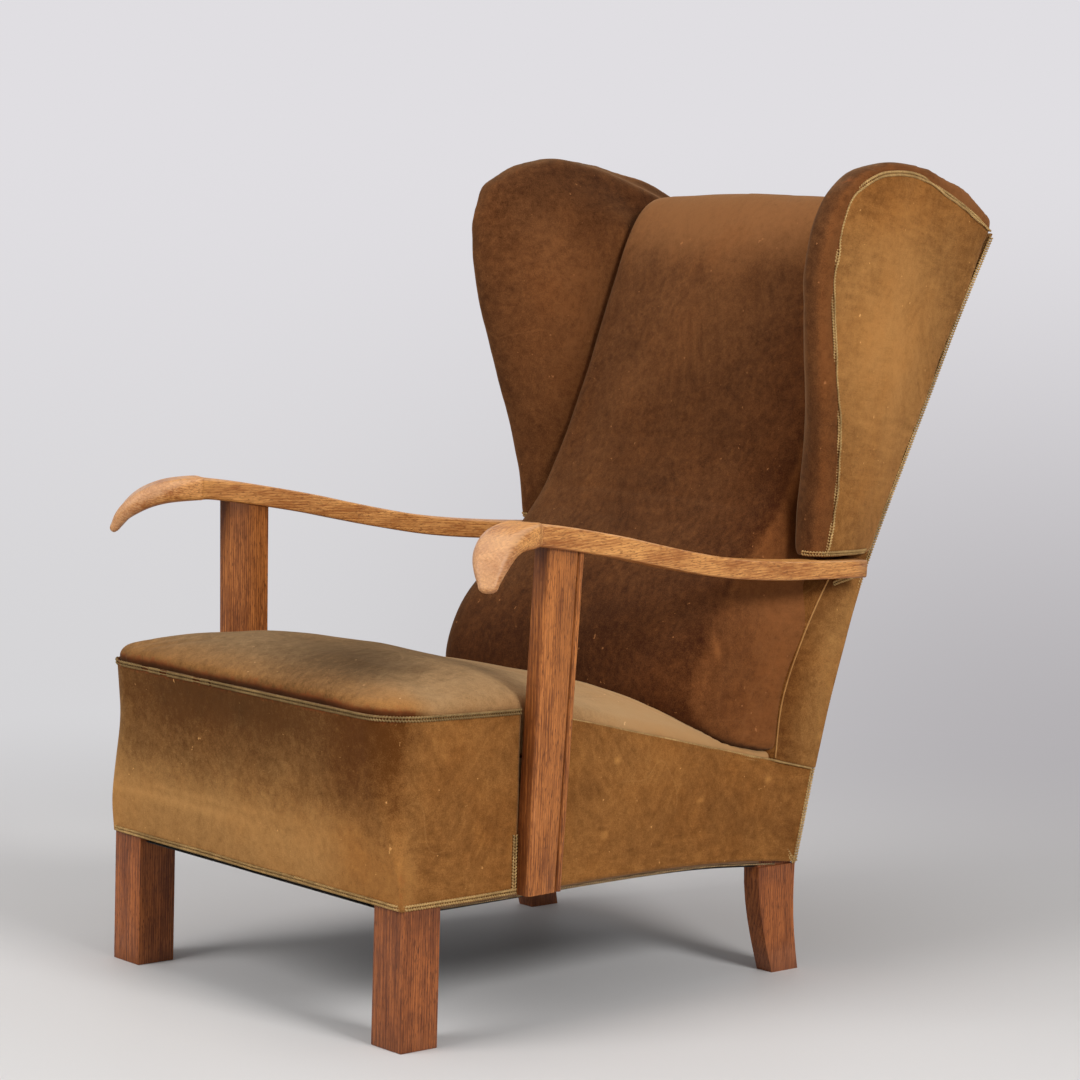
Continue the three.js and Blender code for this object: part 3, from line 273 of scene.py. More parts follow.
def velour(name, light, shade, nap):
    """Worn pile cloth: clouds, brush marks and fine creases; redder, worn or soiled where it is painted so,
    with painted light and painted shade carried in its tone and soil layers.
    """
    cloth = Shader(name)
    cloud = cloth.grain(3.4, 4, 0.6)
    patch = cloth.grain(15, 7, 0.66, shift=(3, 1, 2))
    mottle = cloth.grain(105, 6, 0.76, shift=(6, 2, 4))
    pile = cloth.grain(760, 2, 0.6)
    turns = ((0.5, 0.35, 0.0), (-0.6, -0.3, 0.4), (1.4, 0.9, 0.2))
    marks = [cloth.brushed(78 + 14 * i, turn, (i, 2 * i, 5)) - 0.5 for i, turn in enumerate(turns)]
    first = cloth.between(cloth.grain(10, 3, 0.5, shift=(2, 9, 4)), 0.4, 0.6)
    second = cloth.between(cloth.grain(8, 3, 0.5, shift=(7, 5, 1)), 0.4, 0.6)
    stroke = (marks[0] * first + marks[1] * (1 - first)) * second + marks[2] * (1 - second)
    brushed = (cloud - 0.5) * 0.45 + (patch - 0.5) * 0.35 + (mottle - 0.5) * 0.48 + stroke * 0.5
    level = cloth.between(brushed + cloth.painted("tone") + (pile - 0.5) * 0.5, 0.0, 1.0)
    base = cloth.blend(level, shade, light)
    ruddy = cloth.between(cloth.grain(6, 6, 0.68, shift=(8, 2, 5)), 0.36, 0.76) * 0.32 + cloth.painted("warm")
    base = cloth.blend(ruddy, base, (1.0, 0.76, 0.5), "MULTIPLY")
    thin = cloth.between(cloth.painted("wear") + (mottle - 0.5) * 1.6 + (patch - 0.5) * 1.2, 0.35, 0.9)
    base = cloth.blend(thin * 0.85, base, nap)
    # Darkens towards a deep shade of the cloth, for dirt and for painted shade
    soil = cloth.between(cloth.painted("soil") + (patch - 0.5) * 0.9, 0.2, 1.0)
    base = cloth.blend(soil * 0.85, base, [c * 0.22 for c in shade])
    worn = cloth.between(cloth.grain(5, 3, 0.5, shift=(4, 4, 8)), 0.5, 0.62)
    crease = cloth.one("ABSOLUTE", cloth.grain(8, 1, 0.3, shift=(9, 1, 1)) - 0.5)
    lines = cloth.between(crease + (mottle - 0.5) * 0.01, 0.0, 0.006, 1.0, 0.0) * worn
    base = cloth.blend(lines * 0.08, base, [min(1, c * 1.6) for c in light])
    fleck = cloth.between(cloth.grain(120, 2, 0.5, shift=(1, 4, 9)), 0.73, 0.77)
    base = cloth.blend(fleck * 0.5, base, [min(1, c * 1.9) for c in light])
    rise = cloth.bump(pile, 0.0005, 0.5)
    rise = cloth.bump(stroke, 0.001, 0.4, rise)
    rise = cloth.bump(patch, 0.004, 0.3, rise)
    return cloth.set(
        Base_Color=base,
        Roughness=0.95,
        Sheen_Weight=0.2,
        Sheen_Roughness=0.4,
        Sheen_Tint=(1.0, 0.72, 0.42, 1),
        Specular_IOR_Level=0.05,
        Normal=rise,
    )


def timber(name, light, dark, rings=0.5, gloss=0.42):
    """Open-pored oak on the painted grain coordinates; rings is how much its growth rings show. Its painted
    layers carry wear and dirt, and also painted light, painted highlights and painted shade.
    """
    wood = Shader(name)
    grown = wood.node("ShaderNodeAttribute", {"attribute_name": "grain"}, output="Vector")
    drift = wood.grain(14, 3, 0.5, stretch=(0.18, 1, 1), source=grown)
    split = [wood.node("ShaderNodeSeparateXYZ", {}, {0: grown}, output=axis) for axis in "XYZ"]
    ring = wood.one("SINE", (split[2] + split[1] * 0.6) * (2 * math.pi / 0.0034) + drift * 26)
    bands = wood.grain(70, 4, 0.6, stretch=(0.06, 1, 1), source=grown, shift=(1, 1, 1))
    fine = wood.grain(420, 3, 0.6, stretch=(0.07, 1, 1), source=grown, shift=(2, 2, 2))
    pore = wood.grain(950, 2, 0.5, stretch=(0.12, 1, 1), source=grown)
    worn = wood.grain(11, 5, 0.65, shift=(4, 4, 4))
    tone = wood.painted("tone")
    mixed = ring * (rings * 0.3) + (bands - 0.5) * 1.2 + (fine - 0.5) * 1.3 + (worn - 0.5) * 0.8 + tone
    base = wood.blend(wood.between(mixed, 0.0, 1.0), dark, light)
    base = wood.blend(wood.between(pore, 0.54, 0.68) * 0.7, base, [c * 0.5 for c in dark])
    # Paler where rubbed, and where a highlight is painted along the arrises
    rubbed_and_highlit = wood.between(wood.painted("wear") + (worn - 0.5) * 1.4 + (fine - 0.5) * 0.8, 0.25, 1.1)
    base = wood.blend(rubbed_and_highlit * 0.6, base, [min(1, c * k) for c, k in zip(light, (0.82, 1.0, 1.85))])
    # Darker for dirt, and for painted shade and painted shadows
    base = wood.blend(wood.painted("soil") * 0.75, base, [c * 0.35 for c in dark])
    rise = wood.bump(pore * -1.0, 0.0006, 0.5)
    rise = wood.bump(fine, 0.0006, 0.35, rise)
    rough = wood.between(worn, 0.3, 0.7, gloss - 0.08, gloss + 0.14)
    return wood.set(Base_Color=base, Roughness=rough, Normal=rise, Specular_IOR_Level=0.3)


def twist(name, light, soiled):
    cord = Shader(name)
    dirt = cord.between(cord.grain(16, 5, 0.65), 0.38, 0.62)
    fuzz = cord.grain(900, 2)
    base = cord.blend(dirt * 0.6, light, soiled)
    base = cord.blend(cord.painted("soil") * 0.75, base, [soiled[0] * 0.4, soiled[1] * 0.45, soiled[2] * 0.55])
    base = cord.blend((fuzz - 0.5) * 0.4 + cord.painted("strand") * 0.3, base, [c * 0.4 for c in soiled])
    return cord.set(Base_Color=base, Roughness=0.9, Specular_IOR_Level=0.1, Normal=cord.bump(fuzz, 0.0004, 0.6))


def woven(name, light, dark, spacing):
    """Plain woven cloth such as jute, hessian or dust cloth."""
    cloth = Shader(name)
    turn = 2 * math.pi / spacing
    waves = []
    for axis in "XYZ":
        split = cloth.node("ShaderNodeSeparateXYZ", {}, {0: cloth.place()}, output=axis)
        waves.append(cloth.node("ShaderNodeMath", {"operation": "SINE"}, {0: split * turn}))
    weave = waves[0] * waves[1] + waves[2] * waves[0] + waves[1] * waves[2]
    level = cloth.between(weave + (cloth.grain(60, 4) - 0.5) * 2.5, -1.0, 1.2)
    base = cloth.blend(level, dark, light)
    return cloth.set(Base_Color=base, Roughness=0.9, Normal=cloth.bump(weave, 0.0004, 0.5))


def curled_hair(name, light, dark):
    fill = Shader(name)
    curl = fill.grain(240, 6, 0.75)
    base = fill.blend(fill.between(curl, 0.35, 0.7), dark, light)
    return fill.set(Base_Color=base, Roughness=0.95, Normal=fill.bump(curl, 0.004, 0.8))


def wire_steel(name):
    metal = Shader(name)
    spot = metal.grain(90, 5, 0.7)
    base = metal.blend(metal.between(spot, 0.5, 0.75), linear((150, 148, 144)), linear((92, 66, 48)))
    return metal.set(Base_Color=base, Metallic=0.9, Roughness=metal.between(spot, 0.4, 0.7, 0.35, 0.7))


def finishes():
    """Every finish of the chair, made once from the colours in the scene's settings."""
    tints = bpy.context.scene.armchair_colours
    if "gold velour" not in bpy.data.materials:
        velour("gold velour", tints.gold, tints.gold_shade, tints.nap)
        velour("seat velour", tints.seat, tints.seat_shade, tints.nap)
        velour("brown velour", tints.brown, tints.brown_shade, tints.nap)
        timber("arm oak", tints.oak, tints.oak_dark, 0.3)
        timber("post oak", tints.post, tints.post_dark, 0.4, 0.5)
        timber("leg oak", tints.leg, tints.leg_dark, 0.4, 0.5)
        timber("frame beech", linear((186, 152, 110)), linear((150, 112, 76)), 0.2, 0.6)
        twist("gimp braid", tints.braid, tints.braid_dark)
        woven("jute webbing", linear((168, 138, 96)), linear((104, 80, 50)), 0.003)
        woven("dust cloth", linear((52, 48, 46)), linear((24, 22, 21)), 0.0016)
        curled_hair("curled hair", linear((96, 76, 58)), linear((34, 26, 20)))
        wire_steel("spring steel")
    return bpy.data.materials


# ---------------------------------------------------------------- mesh helpers


def merged(*nodes):
    """A bmesh of CAD nodes' copies, with their loose triangles joined up."""
    form = bmesh.new()
    for node in nodes:
        form.from_mesh(NODES[node].data)
    bmesh.ops.remove_doubles(form, verts=form.verts, dist=MERGE)
    return form


def to_mesh(form, name):
    mesh = bpy.data.meshes.new(name)
    form.to_mesh(mesh)
    form.free()
    return mesh


def linked(name, data):
    made = bpy.data.objects.new(name, data)
    bpy.context.scene.collection.objects.link(made)
    return made


def evaluated(holder):
    return holder.evaluated_get(bpy.context.evaluated_depsgraph_get())


def baked(holder):
    """The mesh of an object after its modifiers; the object is removed."""
    result = bpy.data.meshes.new_from_object(evaluated(holder))
    bpy.data.objects.remove(holder)
    return result


def shaped(mesh, kind, **settings):
    """The mesh after one modifier."""
    holder = linked("holder", mesh)
    made = holder.modifiers.new(kind.lower(), kind)
    for name, value in settings.items():
        setattr(made, name, value)
    return baked(holder)


def subdivided(form, name):
    """A smooth, finer mesh of a bmesh in triangles; its sharp edges stay sharp."""
    bmesh.ops.join_triangles(form, faces=form.faces, angle_face_threshold=0.6, angle_shape_threshold=1.2)
    crease = form.edges.layers.float.new("crease_edge")
    for edge in form.edges:
        if len(edge.link_faces) == 2 and edge.calc_face_angle() > SHARP:
            edge[crease] = 1.0
    mesh = to_mesh(form, name)
    return shaped(mesh, "SUBSURF", levels=2, render_levels=2, boundary_smooth="PRESERVE_CORNERS")


def solid_of(name, nodes, voxel):
    """One closed form round several CAD nodes that lie against each other."""
    whole = bmesh.new()
    for node in nodes:
        whole.from_mesh(subdivided(merged(node), node))
    return shaped(to_mesh(whole, name), "REMESH", mode="VOXEL", voxel_size=voxel, adaptivity=0.0)


def read(items, name, width=3, kind=np.float32):
    """One property of a mesh's points, edges or faces, with a row for each of them."""
    flat = np.zeros(len(items) * width, kind)
    items.foreach_get(name, flat)
    return flat.reshape(-1, width)


def points_of(mesh):
    return read(mesh.vertices, "co").astype(float)


def normals_of(mesh):
    return read(mesh.vertices, "normal").astype(float)


def edges_of(mesh):
    return read(mesh.edges, "vertices", 2, np.int32)


def put(mesh, points):
    mesh.vertices.foreach_set("co", points.astype(np.float32).ravel())
    mesh.update()


def neighbour_mean(values, edges, count):
    total = np.zeros((count, values.shape[1]))
    for k in range(values.shape[1]):
        total[:, k] = np.bincount(edges[:, 0], values[edges[:, 1], k], count)
        total[:, k] += np.bincount(edges[:, 1], values[edges[:, 0], k], count)
    degree = np.bincount(edges.ravel(), minlength=count)[:, None]
    return total / np.maximum(degree, 1)


def relax(mesh, times, free=None):
    """Evens out a mesh; free is how far each point may follow, from 0 to 1."""
    points, edges = points_of(mesh), edges_of(mesh)
    pull = 0.5 if free is None else 0.5 * free[:, None]
    for _ in range(times):
        points = points + (neighbour_mean(points, edges, len(points)) - points) * pull
    put(mesh, points)
    return mesh


def outermost(surface, point, along, behind=0.010, ahead=0.012):
    """How far the last wall near a point lies along a direction, or None."""
    start, gone, found = point - along * behind, 0.0, None
    while gone < behind + ahead:
        hit = surface.ray_cast(start, along, behind + ahead - gone)
        if hit[0] is None:
            break
        gone += hit[3] + 1e-5
        found = gone - behind
        start = start + along * (hit[3] + 1e-5)
    return found


def filled(mesh, nodes):
    """Brings an evened form back out to the walls of its CAD nodes."""
    whole = bmesh.new()
    for node in nodes:
        whole.from_mesh(NODES[node].data)
    surface = BVHTree.FromBMesh(whole)
    whole.free()
    points, normals, edges = points_of(mesh), normals_of(mesh), edges_of(mesh)
    gaps = [outermost(surface, Vector(p), Vector(n)) for p, n in zip(points, normals)]
    known = np.array([[gap is not None] for gap in gaps], float)
    gaps = np.array([[gap or 0.0] for gap in gaps])
    for _ in range(FILL_PASSES):
        gaps = gaps * known * FILL_HOLD + neighbour_mean(gaps, edges, len(points)) * (1 - FILL_HOLD * known)
    put(mesh, points + normals * np.clip(gaps, *FILL_REACH))
    return mesh


def paint(mesh, **layers):
    """Paints named layers of values on a mesh's points."""
    for name, values in layers.items():
        layer = mesh.attributes.get(name) or mesh.attributes.new(name, "FLOAT", "POINT")
        layer.data.foreach_set("value", np.broadcast_to(values, len(mesh.vertices)).astype(np.float32))


def lumps(points, size, seed, octaves=2):
    """Soft noise from -1 to 1 at each point, with lumps of about that size."""
    shift = Vector((seed * 7.3, seed * 3.1, seed * 5.7))
    spread = [Vector(p) / size + shift for p in points]
    return np.array([noise.fractal(p, 1.0, 2.0, octaves, noise_basis="PERLIN_ORIGINAL") for p in spread])


def rumple(mesh, height, seed, size=0.07):
    points, normals = points_of(mesh), normals_of(mesh)
    put(mesh, points + normals * (lumps(points, size, seed) * height)[:, None])
    return mesh


def smoothstep(value, low, high):
    t = np.clip((value - low) / (high - low), 0, 1)
    return t * t * (3 - 2 * t)


def fade(value, low, high):
    return 1 - smoothstep(value, low, high)


def bell(points, centre, spread):
    """1 at a centre, fading to 0 over a spread; centre and spread are given along X, Y and Z."""
    away = (points - np.array(centre)) / np.array(spread)
    return np.exp(-(away**2).sum(1))


def piece(name, mesh, finish, slot, *replaced):
    """Makes a finished mesh a piece of the chair, with its finish and painted layers, and hides the nodes it
    stands for; slot is not used.
    """
    made = linked(name, mesh)
    mesh.materials.clear()
    mesh.materials.append(finishes()[finish])
    mesh.polygons.foreach_set("use_smooth", [True] * len(mesh.polygons))
    paint(mesh, **{layer: value for layer, value in PAINTED.items() if layer not in mesh.attributes})
    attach(made, "root")
    if replaced:
        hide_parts(*replaced)
    return made


def stretched(made, width, length, *rests_on):
    """Measures half of the cover's area and does nothing more with it; width, length and rests_on are not used.
    """
    form = bmesh.new()
    form.from_mesh(made.data)
    cut = sum(face.calc_area() for face in form.faces) / 2
    form.free()


def swollen(mesh, free, reach, pressure=4.0):
    """Lets the padding press the cover out as cloth, held where free is 0 and never further than reach."""
    holder = linked("swelling", mesh)
    group = holder.vertex_groups.new(name="sewn")
    for i, held in enumerate(1 - free):
        if held > 0.02:
            group.add([i], float(held), "REPLACE")
    cloth = holder.modifiers.new("swelling", "CLOTH")
    cloth.settings.vertex_group_mass = "sewn"
    cloth.settings.use_pressure = True
    cloth.settings.uniform_pressure_force = pressure
    cloth.settings.effector_weights.gravity = 0
    cloth.settings.quality = 4
    cloth.collision_settings.use_collision = False
    start = points_of(mesh)
    for step in range(SWELL_FRAMES):
        bpy.context.scene.frame_set(step + 1)
    moved = points_of(evaluated(holder).data) - start
    bpy.context.scene.frame_set(1)
    bpy.data.objects.remove(holder)
    far = np.linalg.norm(moved, axis=1, keepdims=True)
    put(mesh, start + moved * np.minimum(1, reach / np.maximum(far, 1e-9)))
    return mesh


def dress(node, finish):
    """Gives a CAD node that stays in view, or hidden inside, its finish."""
    data = NODES[node].data
    data.materials.clear()
    data.materials.append(finishes()[finish])


# ---------------------------------------------------------------- outlines of the chair

# Chair's own outlines, in metres; here depth is 0 at the front legs' front faces
BACK_SHIFT = -0.4686
SEAT_HALF = (0.293, 0.250)
SEAT_TAPER = (0.040, 0.720)
SEAT_EDGES = ((0.0, 0.390), (0.171, 0.386), (0.705, 0.261))
SEAT_BOTTOMS = (0.166, 0.140)
SEAT_ARCH = (0.150, 0.690)
FRONT_LEAN = (0.004, 0.028)
CORNER_RADII = (0.003, 0.054)
CORNER_ROUND = (0.190, 0.335)
POST_SPAN = (0.1707, 0.2286)
# Shares of the front cover's half outline: its flat front, its corner, and where its side begins
FRONT_FLAT = 0.45
CORNER_SHARE = 0.3
SIDE_FROM = 0.75
REAR_EDGE_FOOT = (0.682, 0.140)
REAR_EDGE_TOP = (0.968, 0.953)
REAR_EDGE_SHARES = ((0, 0), (0.218, 0.15), (0.48, 0.395), (0.699, 0.652), (0.882, 0.858), (1, 1))
REAR_HALF = (0.250, 0.292)
SPLAY_FROM = 0.430
CLOTH = 0.003


def mix(low, high, t):
    return low + (high - low) * t


def follow(shares, t):
    """A smooth curve through pairs of shares, read at t."""
    xs, ys = np.array(shares, float).T
    slopes = np.gradient(ys, xs)
    t = np.clip(t, xs[0], xs[-1])
    i = np.clip(np.searchsorted(xs, t) - 1, 0, len(xs) - 2)
    run = xs[i + 1] - xs[i]
    s = (t - xs[i]) / run
    rise = (s**3 - 2 * s**2 + s) * slopes[i] + (s**3 - s**2) * slopes[i + 1]
    return mix(ys[i], ys[i + 1], s * s * (3 - 2 * s)) + run * rise


def seat_side(y):
    turn = np.pi * np.clip((y - SEAT_TAPER[0]) / (SEAT_TAPER[1] - SEAT_TAPER[0]), 0, 1)
    return mix(SEAT_HALF[1], SEAT_HALF[0], (1 + np.cos(turn)) / 2)


def seat_edge(y):
    return np.interp(y, *zip(*SEAT_EDGES))


def seat_bottom(y):
    share = np.clip((y - SEAT_ARCH[0]) / (SEAT_ARCH[1] - SEAT_ARCH[0]), 0, 1)
    return mix(SEAT_BOTTOMS[0], SEAT_BOTTOMS[1], share**3)


def front_outline(share, z):
    """The front cover's outline from above at one height; share runs from post to post, -1 to 1."""
    rise = np.clip((z - SEAT_BOTTOMS[0]) / (SEAT_EDGES[0][1] - SEAT_BOTTOMS[0]), 0, 1)
    front = -mix(FRONT_LEAN[0], FRONT_LEAN[1], rise)
    radius = mix(*CORNER_RADII, smoothstep(z, *CORNER_ROUND))
    half = seat_side(front + radius)
    s = np.abs(share)
    turn = np.clip((s - FRONT_FLAT) / CORNER_SHARE, 0, 1) * np.pi / 2
    x = np.where(s < FRONT_FLAT, (half - radius) * s / FRONT_FLAT, half - radius + radius * np.sin(turn))
    y = front + radius - radius * np.cos(turn)
    beyond = np.clip((s - SIDE_FROM) / (1 - SIDE_FROM), 0, 1)
    y = mix(y, POST_SPAN[0], beyond)
    x = np.where(s > SIDE_FROM, seat_side(y), x)
    return np.sign(share) * x, y


def rear_edge(z):
    share = (z - REAR_EDGE_FOOT[1]) / (REAR_EDGE_TOP[1] - REAR_EDGE_FOOT[1])
    return mix(REAR_EDGE_FOOT[0], REAR_EDGE_TOP[0], follow(REAR_EDGE_SHARES, np.clip(share, 0, 1)))


def rear_half(z):
    return mix(*REAR_HALF, np.clip((z - SPLAY_FROM) / (REAR_EDGE_TOP[1] - SPLAY_FROM), 0, 1) ** 1.5)


def placed(x, y, z):
    """Points of the chair's outlines as rows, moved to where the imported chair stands."""
    return np.stack(np.broadcast_arrays(x, y + BACK_SHIFT, z), axis=-1)


# ---------------------------------------------------------------- wood


def paint_grain(mesh, along_axis):
    """Grain coordinates along a straight board: X of the pattern runs along the board."""
    points = points_of(mesh)
    order = {"X": (0, 1, 2), "Y": (1, 0, 2), "Z": (2, 0, 1)}[along_axis]
    grain = mesh.attributes.new("grain", "FLOAT_VECTOR", "POINT")
    grain.data.foreach_set("vector", points[:, order].astype(np.float32).ravel())


# Heights at which the legs get a row of points, for their wear
LEG_CUTS = (0.02, 0.045, 0.08, 0.12)


class ARMCHAIR_OT_legs(bpy.types.Operator):
    """Front and rear legs in reddish oak with worn feet"""

    bl_idname = "armchair.legs"
    bl_label = "Legs"

    def execute(self, context):
        sizes = context.scene.armchair_sizes
        for side in SIDES:
            for kind in ("front_leg", "rear_leg"):
                node = f"{kind}_{side}"
                form = merged(node)
                for height in LEG_CUTS:
                    every = form.verts[:] + form.edges[:] + form.faces[:]
                    bmesh.ops.bisect_plane(form, geom=every, plane_co=(0, 0, height), plane_no=(0, 0, 1))
                mesh = to_mesh(form, f"{node}_oak")
                paint_grain(mesh, "Z")
                z = points_of(mesh)[:, 2]
                pale = 0.75 if kind == "rear_leg" else 0.4
                # Paler worn feet and darker at the very foot; towards the top, where the leg goes under the
                # seat, painted shade
                paint(
                    mesh,
                    wear=pale * fade(z, 0.015, 0.06),
                    soil=0.3 * fade(z, 0.0, 0.03) + 0.35 * smoothstep(z, 0.11, 0.17),
                )
                made = piece(f"{node}_oak", mesh, "leg oak", "dark_oak", node)
                ease = made.modifiers.new("ease", "BEVEL")
                ease.width = sizes.edge_ease
                ease.segments = 3
                ease.limit_method = "ANGLE"
                ease.angle_limit = math.radians(50)
        return {"FINISHED"}


# Arm sizes, and where the middle of the left handle runs: X, depth, height, width and thickness
ARM_WIDTH = 0.036
ARM_EDGE = 0.0034
HANDLE = (
    (0.3715, 0.0455, 0.5460, 0.0240, 0.0120),
    (0.3655, 0.0520, 0.5600, 0.0360, 0.0180),
    (0.3580, 0.0615, 0.5720, 0.0450, 0.0225),
    (0.3490, 0.0760, 0.5830, 0.0500, 0.0260),
    (0.3380, 0.0980, 0.5912, 0.0530, 0.0285),
    (0.3250, 0.1330, 0.5952, 0.0500, 0.0290),
    (0.3220, 0.1400, 0.5953, 0.0470, 0.0288),
    (0.3205, 0.1440, 0.5951, 0.0400, 0.0275),
)
ARM_FALL = ((0, 0), (0.184, 0.252), (0.271, 0.396), (0.399, 0.597), (0.533, 0.77), (0.713, 0.899), (1, 1))
ARM_FRONT = (0.332, 0.200, 0.6015, 0.027)
ARM_REAR = (0.286, 0.754, 0.532, 0.023)
ARM_CAP = ((0.0, 0.35), (0.15, 0.62), (0.4, 0.84), (0.7, 0.96))
ARM_CAP_LENGTH = 0.009
# Dark line where the left handle joins the arm, as a place and how far it spreads
ARM_JOINT = (0.34, BACK_SHIFT + 0.1425, 0.595), (0.03, 0.0016, 0.03)

# Arm post on the left side: thickness, depths at foot and top, heights, splay and lean over its height
POST_THICK = 0.026
POST_DEPTHS = (0.057, 0.060)
POST_FRONT = 0.171
POST_HEIGHTS = (0.166, 0.5745)
POST_SPLAY = 0.017
POST_LEAN = 0.003
POST_CHAMFER = 0.004


def flowing(knots, steps):
    """Points of a smooth centripetal curve through knots, with as many steps between each pair."""
    knots = np.array(knots, float)
    knots = np.vstack([2 * knots[0] - knots[1], knots, 2 * knots[-1] - knots[-2]])
    found = []
    for p in (knots[i : i + 4] for i in range(len(knots) - 3)):
        gaps = np.maximum(np.linalg.norm(np.diff(p[:, :3], axis=0), axis=1), 1e-6) ** 0.5
        t = np.concatenate([[0], np.cumsum(gaps)])
        for s in np.linspace(t[1], t[2], steps, endpoint=False):
            a = [(p[k] * (t[k + 1] - s) + p[k + 1] * (s - t[k])) / (t[k + 1] - t[k]) for k in range(3)]
            b = [(a[k] * (t[k + 2] - s) + a[k + 1] * (s - t[k])) / (t[k + 2] - t[k]) for k in range(2)]
            found.append((b[0] * (t[2] - s) + b[1] * (s - t[1])) / (t[2] - t[1]))
    found.append(knots[-2])
    return np.array(found)


def round_ring(width, thick, radius, turns=6):
    """A rectangle with round corners, as pairs (across, up)."""
    ring = []
    for quarter, (sx, sy) in enumerate(((1, 1), (-1, 1), (-1, -1), (1, -1))):
        for turn in (quarter + np.linspace(0, 1, turns)) * math.pi / 2:
            x = sx * (width / 2 - radius) + radius * math.cos(turn)
            ring.append((x, sy * (thick / 2 - radius) + radius * math.sin(turn)))
    return ring


def lofted(name, rings):
    """A closed mesh through rings of equally many points, with its ends capped."""
    form = bmesh.new()
    rows = [[form.verts.new(p) for p in ring] for ring in rings]
    count = len(rows[0])
    for low, high in zip(rows, rows[1:]):
        for k in range(count):
            form.faces.new((low[k], low[(k + 1) % count], high[(k + 1) % count], high[k]))
    form.faces.new(rows[0][::-1])
    form.faces.new(rows[-1])
    bmesh.ops.recalc_face_normals(form, faces=form.faces)
    return to_mesh(form, name)


def arm_stations():
    """Middle, width, thickness and edge radius along the left arm, from the handle's tip to the rear end."""
    stations = [(*row, mix(0.42 * min(row[3:]), 0.006, smoothstep(row[1], 0.09, 0.14))) for row in HANDLE]
    for t, fall in ARM_FALL:
        outer, y, _, thick = (mix(a, b, t) for a, b in zip(ARM_FRONT, ARM_REAR))
        top = mix(ARM_FRONT[2], ARM_REAR[2], fall)
        stations.append((outer - ARM_WIDTH / 2, y, top - thick / 2, ARM_WIDTH, thick, ARM_EDGE))
    return flowing(stations, 6)


def arm_rings(sign):
    stations = arm_stations()
    tangents = np.gradient(stations[:, :3], axis=0)
    rings = []
    for i, (station, along) in enumerate(zip(stations, tangents)):
        along = Vector(along).normalized()
        across = Vector((along.y, -along.x, 0)).normalized()
        up = across.cross(along).normalized()
        width, thick, edge = station[3:]
        centre = Vector(station[:3]) + Vector((0, BACK_SHIFT, 0))
        shrunk = [(lead, size) for lead, size in ARM_CAP] if i == 0 else []
        for lead, size in (*shrunk, (1.0, 1.0)):
            ring = round_ring(width * size, thick * size, min(edge, thick / 2.05, width / 2.05) * size)
            middle = centre - along * (ARM_CAP_LENGTH * (1 - lead) if i == 0 else 0)
            rings.append([middle + across * a + up * b for a, b in ring])
    return [[(sign * p.x, p.y, p.z) for p in ring] for ring in rings]


def post_outline(depth, bead):
    """The arm post's section as (across, deep), with an eased front corner and a bead behind a quirk."""
    out, quirk, ease = POST_THICK, 0.0034, 0.0010
    start = depth - bead - quirk
    outline = [(0, ease), (ease, 0), (out - POST_CHAMFER - 0.001, 0), (out - POST_CHAMFER, 0.0004)]
    outline += [(out - 0.0004, POST_CHAMFER), (out, POST_CHAMFER + 0.001)]
    outline += [(out, start - 0.0006), (out - 0.0006, start)]
    outline += [(out - quirk, start + 0.0005), (out - quirk, start + quirk - 0.0003)]
    for turn in np.linspace(0, math.pi, 9)[1:-1]:
        reach = bead / 2
        outline.append((out - quirk + quirk * 1.15 * math.sin(turn), depth - reach - reach * math.cos(turn)))
    return outline + [(out - quirk, depth), (ease, depth), (0, depth - ease)]


def post_rings(sign, bead):
    inner = [float(seat_side(y)) - 0.005 for y in (POST_FRONT, POST_FRONT + POST_DEPTHS[1])]
    rings = []
    for z in np.linspace(POST_HEIGHTS[0], POST_HEIGHTS[1] + 0.008, 30):
        rise = (z - POST_HEIGHTS[0]) / (POST_HEIGHTS[1] - POST_HEIGHTS[0])
        depth = mix(*POST_DEPTHS, rise)
        front = POST_FRONT + POST_LEAN * rise + BACK_SHIFT
        ring = []
        for across, deep in post_outline(depth, bead):
            ring.append((sign * (mix(*inner, deep / depth) + POST_SPLAY * rise + across), front + deep, z))
        rings.append(ring)
    return rings


def crisp(mesh, degrees=40):
    """Keeps the arrises of wood sharp in the shading."""
    form = bmesh.new()
    form.from_mesh(mesh)
    for edge in form.edges:
        edge.smooth = len(edge.link_faces) != 2 or edge.calc_face_angle() < math.radians(degrees)
    form.to_mesh(mesh)
    form.free()


class ARMCHAIR_OT_arms(bpy.types.Operator):
    """Open oak arms with drooping paddle handles"""

    bl_idname = "armchair.arms"
    bl_label = "Arms"

    def execute(self, context):
        for side, sign in SIDES.items():
            mesh = lofted(f"arm_{side}_oak", arm_rings(sign))
            paint_grain(mesh, "Y")
            points, normals = points_of(mesh), normals_of(mesh)
            handle = fade(points[:, 1], -0.42, -0.34)
            arris = fade(np.maximum(np.abs(normals[:, 2]), np.abs(normals[:, 0])), 0.8, 0.97)
            top = smoothstep(normals[:, 2], 0.5, 0.95)
            # Painted light: the top lighter and the underside darker as if lit from above, and a painted
            # highlight together with wear along the upper arrises and on the top; the handle worn paler and a
            # dark joint where it meets the arm
            paint(
                mesh,
                tone=0.5 + 0.1 * top - 0.14 * handle - 0.25 * smoothstep(-normals[:, 2], 0.5, 0.9),
                wear=np.clip(0.7 * arris * (normals[:, 2] > 0) + 0.2 * top + 0.7 * handle, 0, 1),
                soil=0.6 * bell(points * (sign, 1, 1), *ARM_JOINT),
            )
            piece(f"arm_{side}_oak", mesh, "arm oak", "oak", f"arm_{side}")
        return {"FINISHED"}


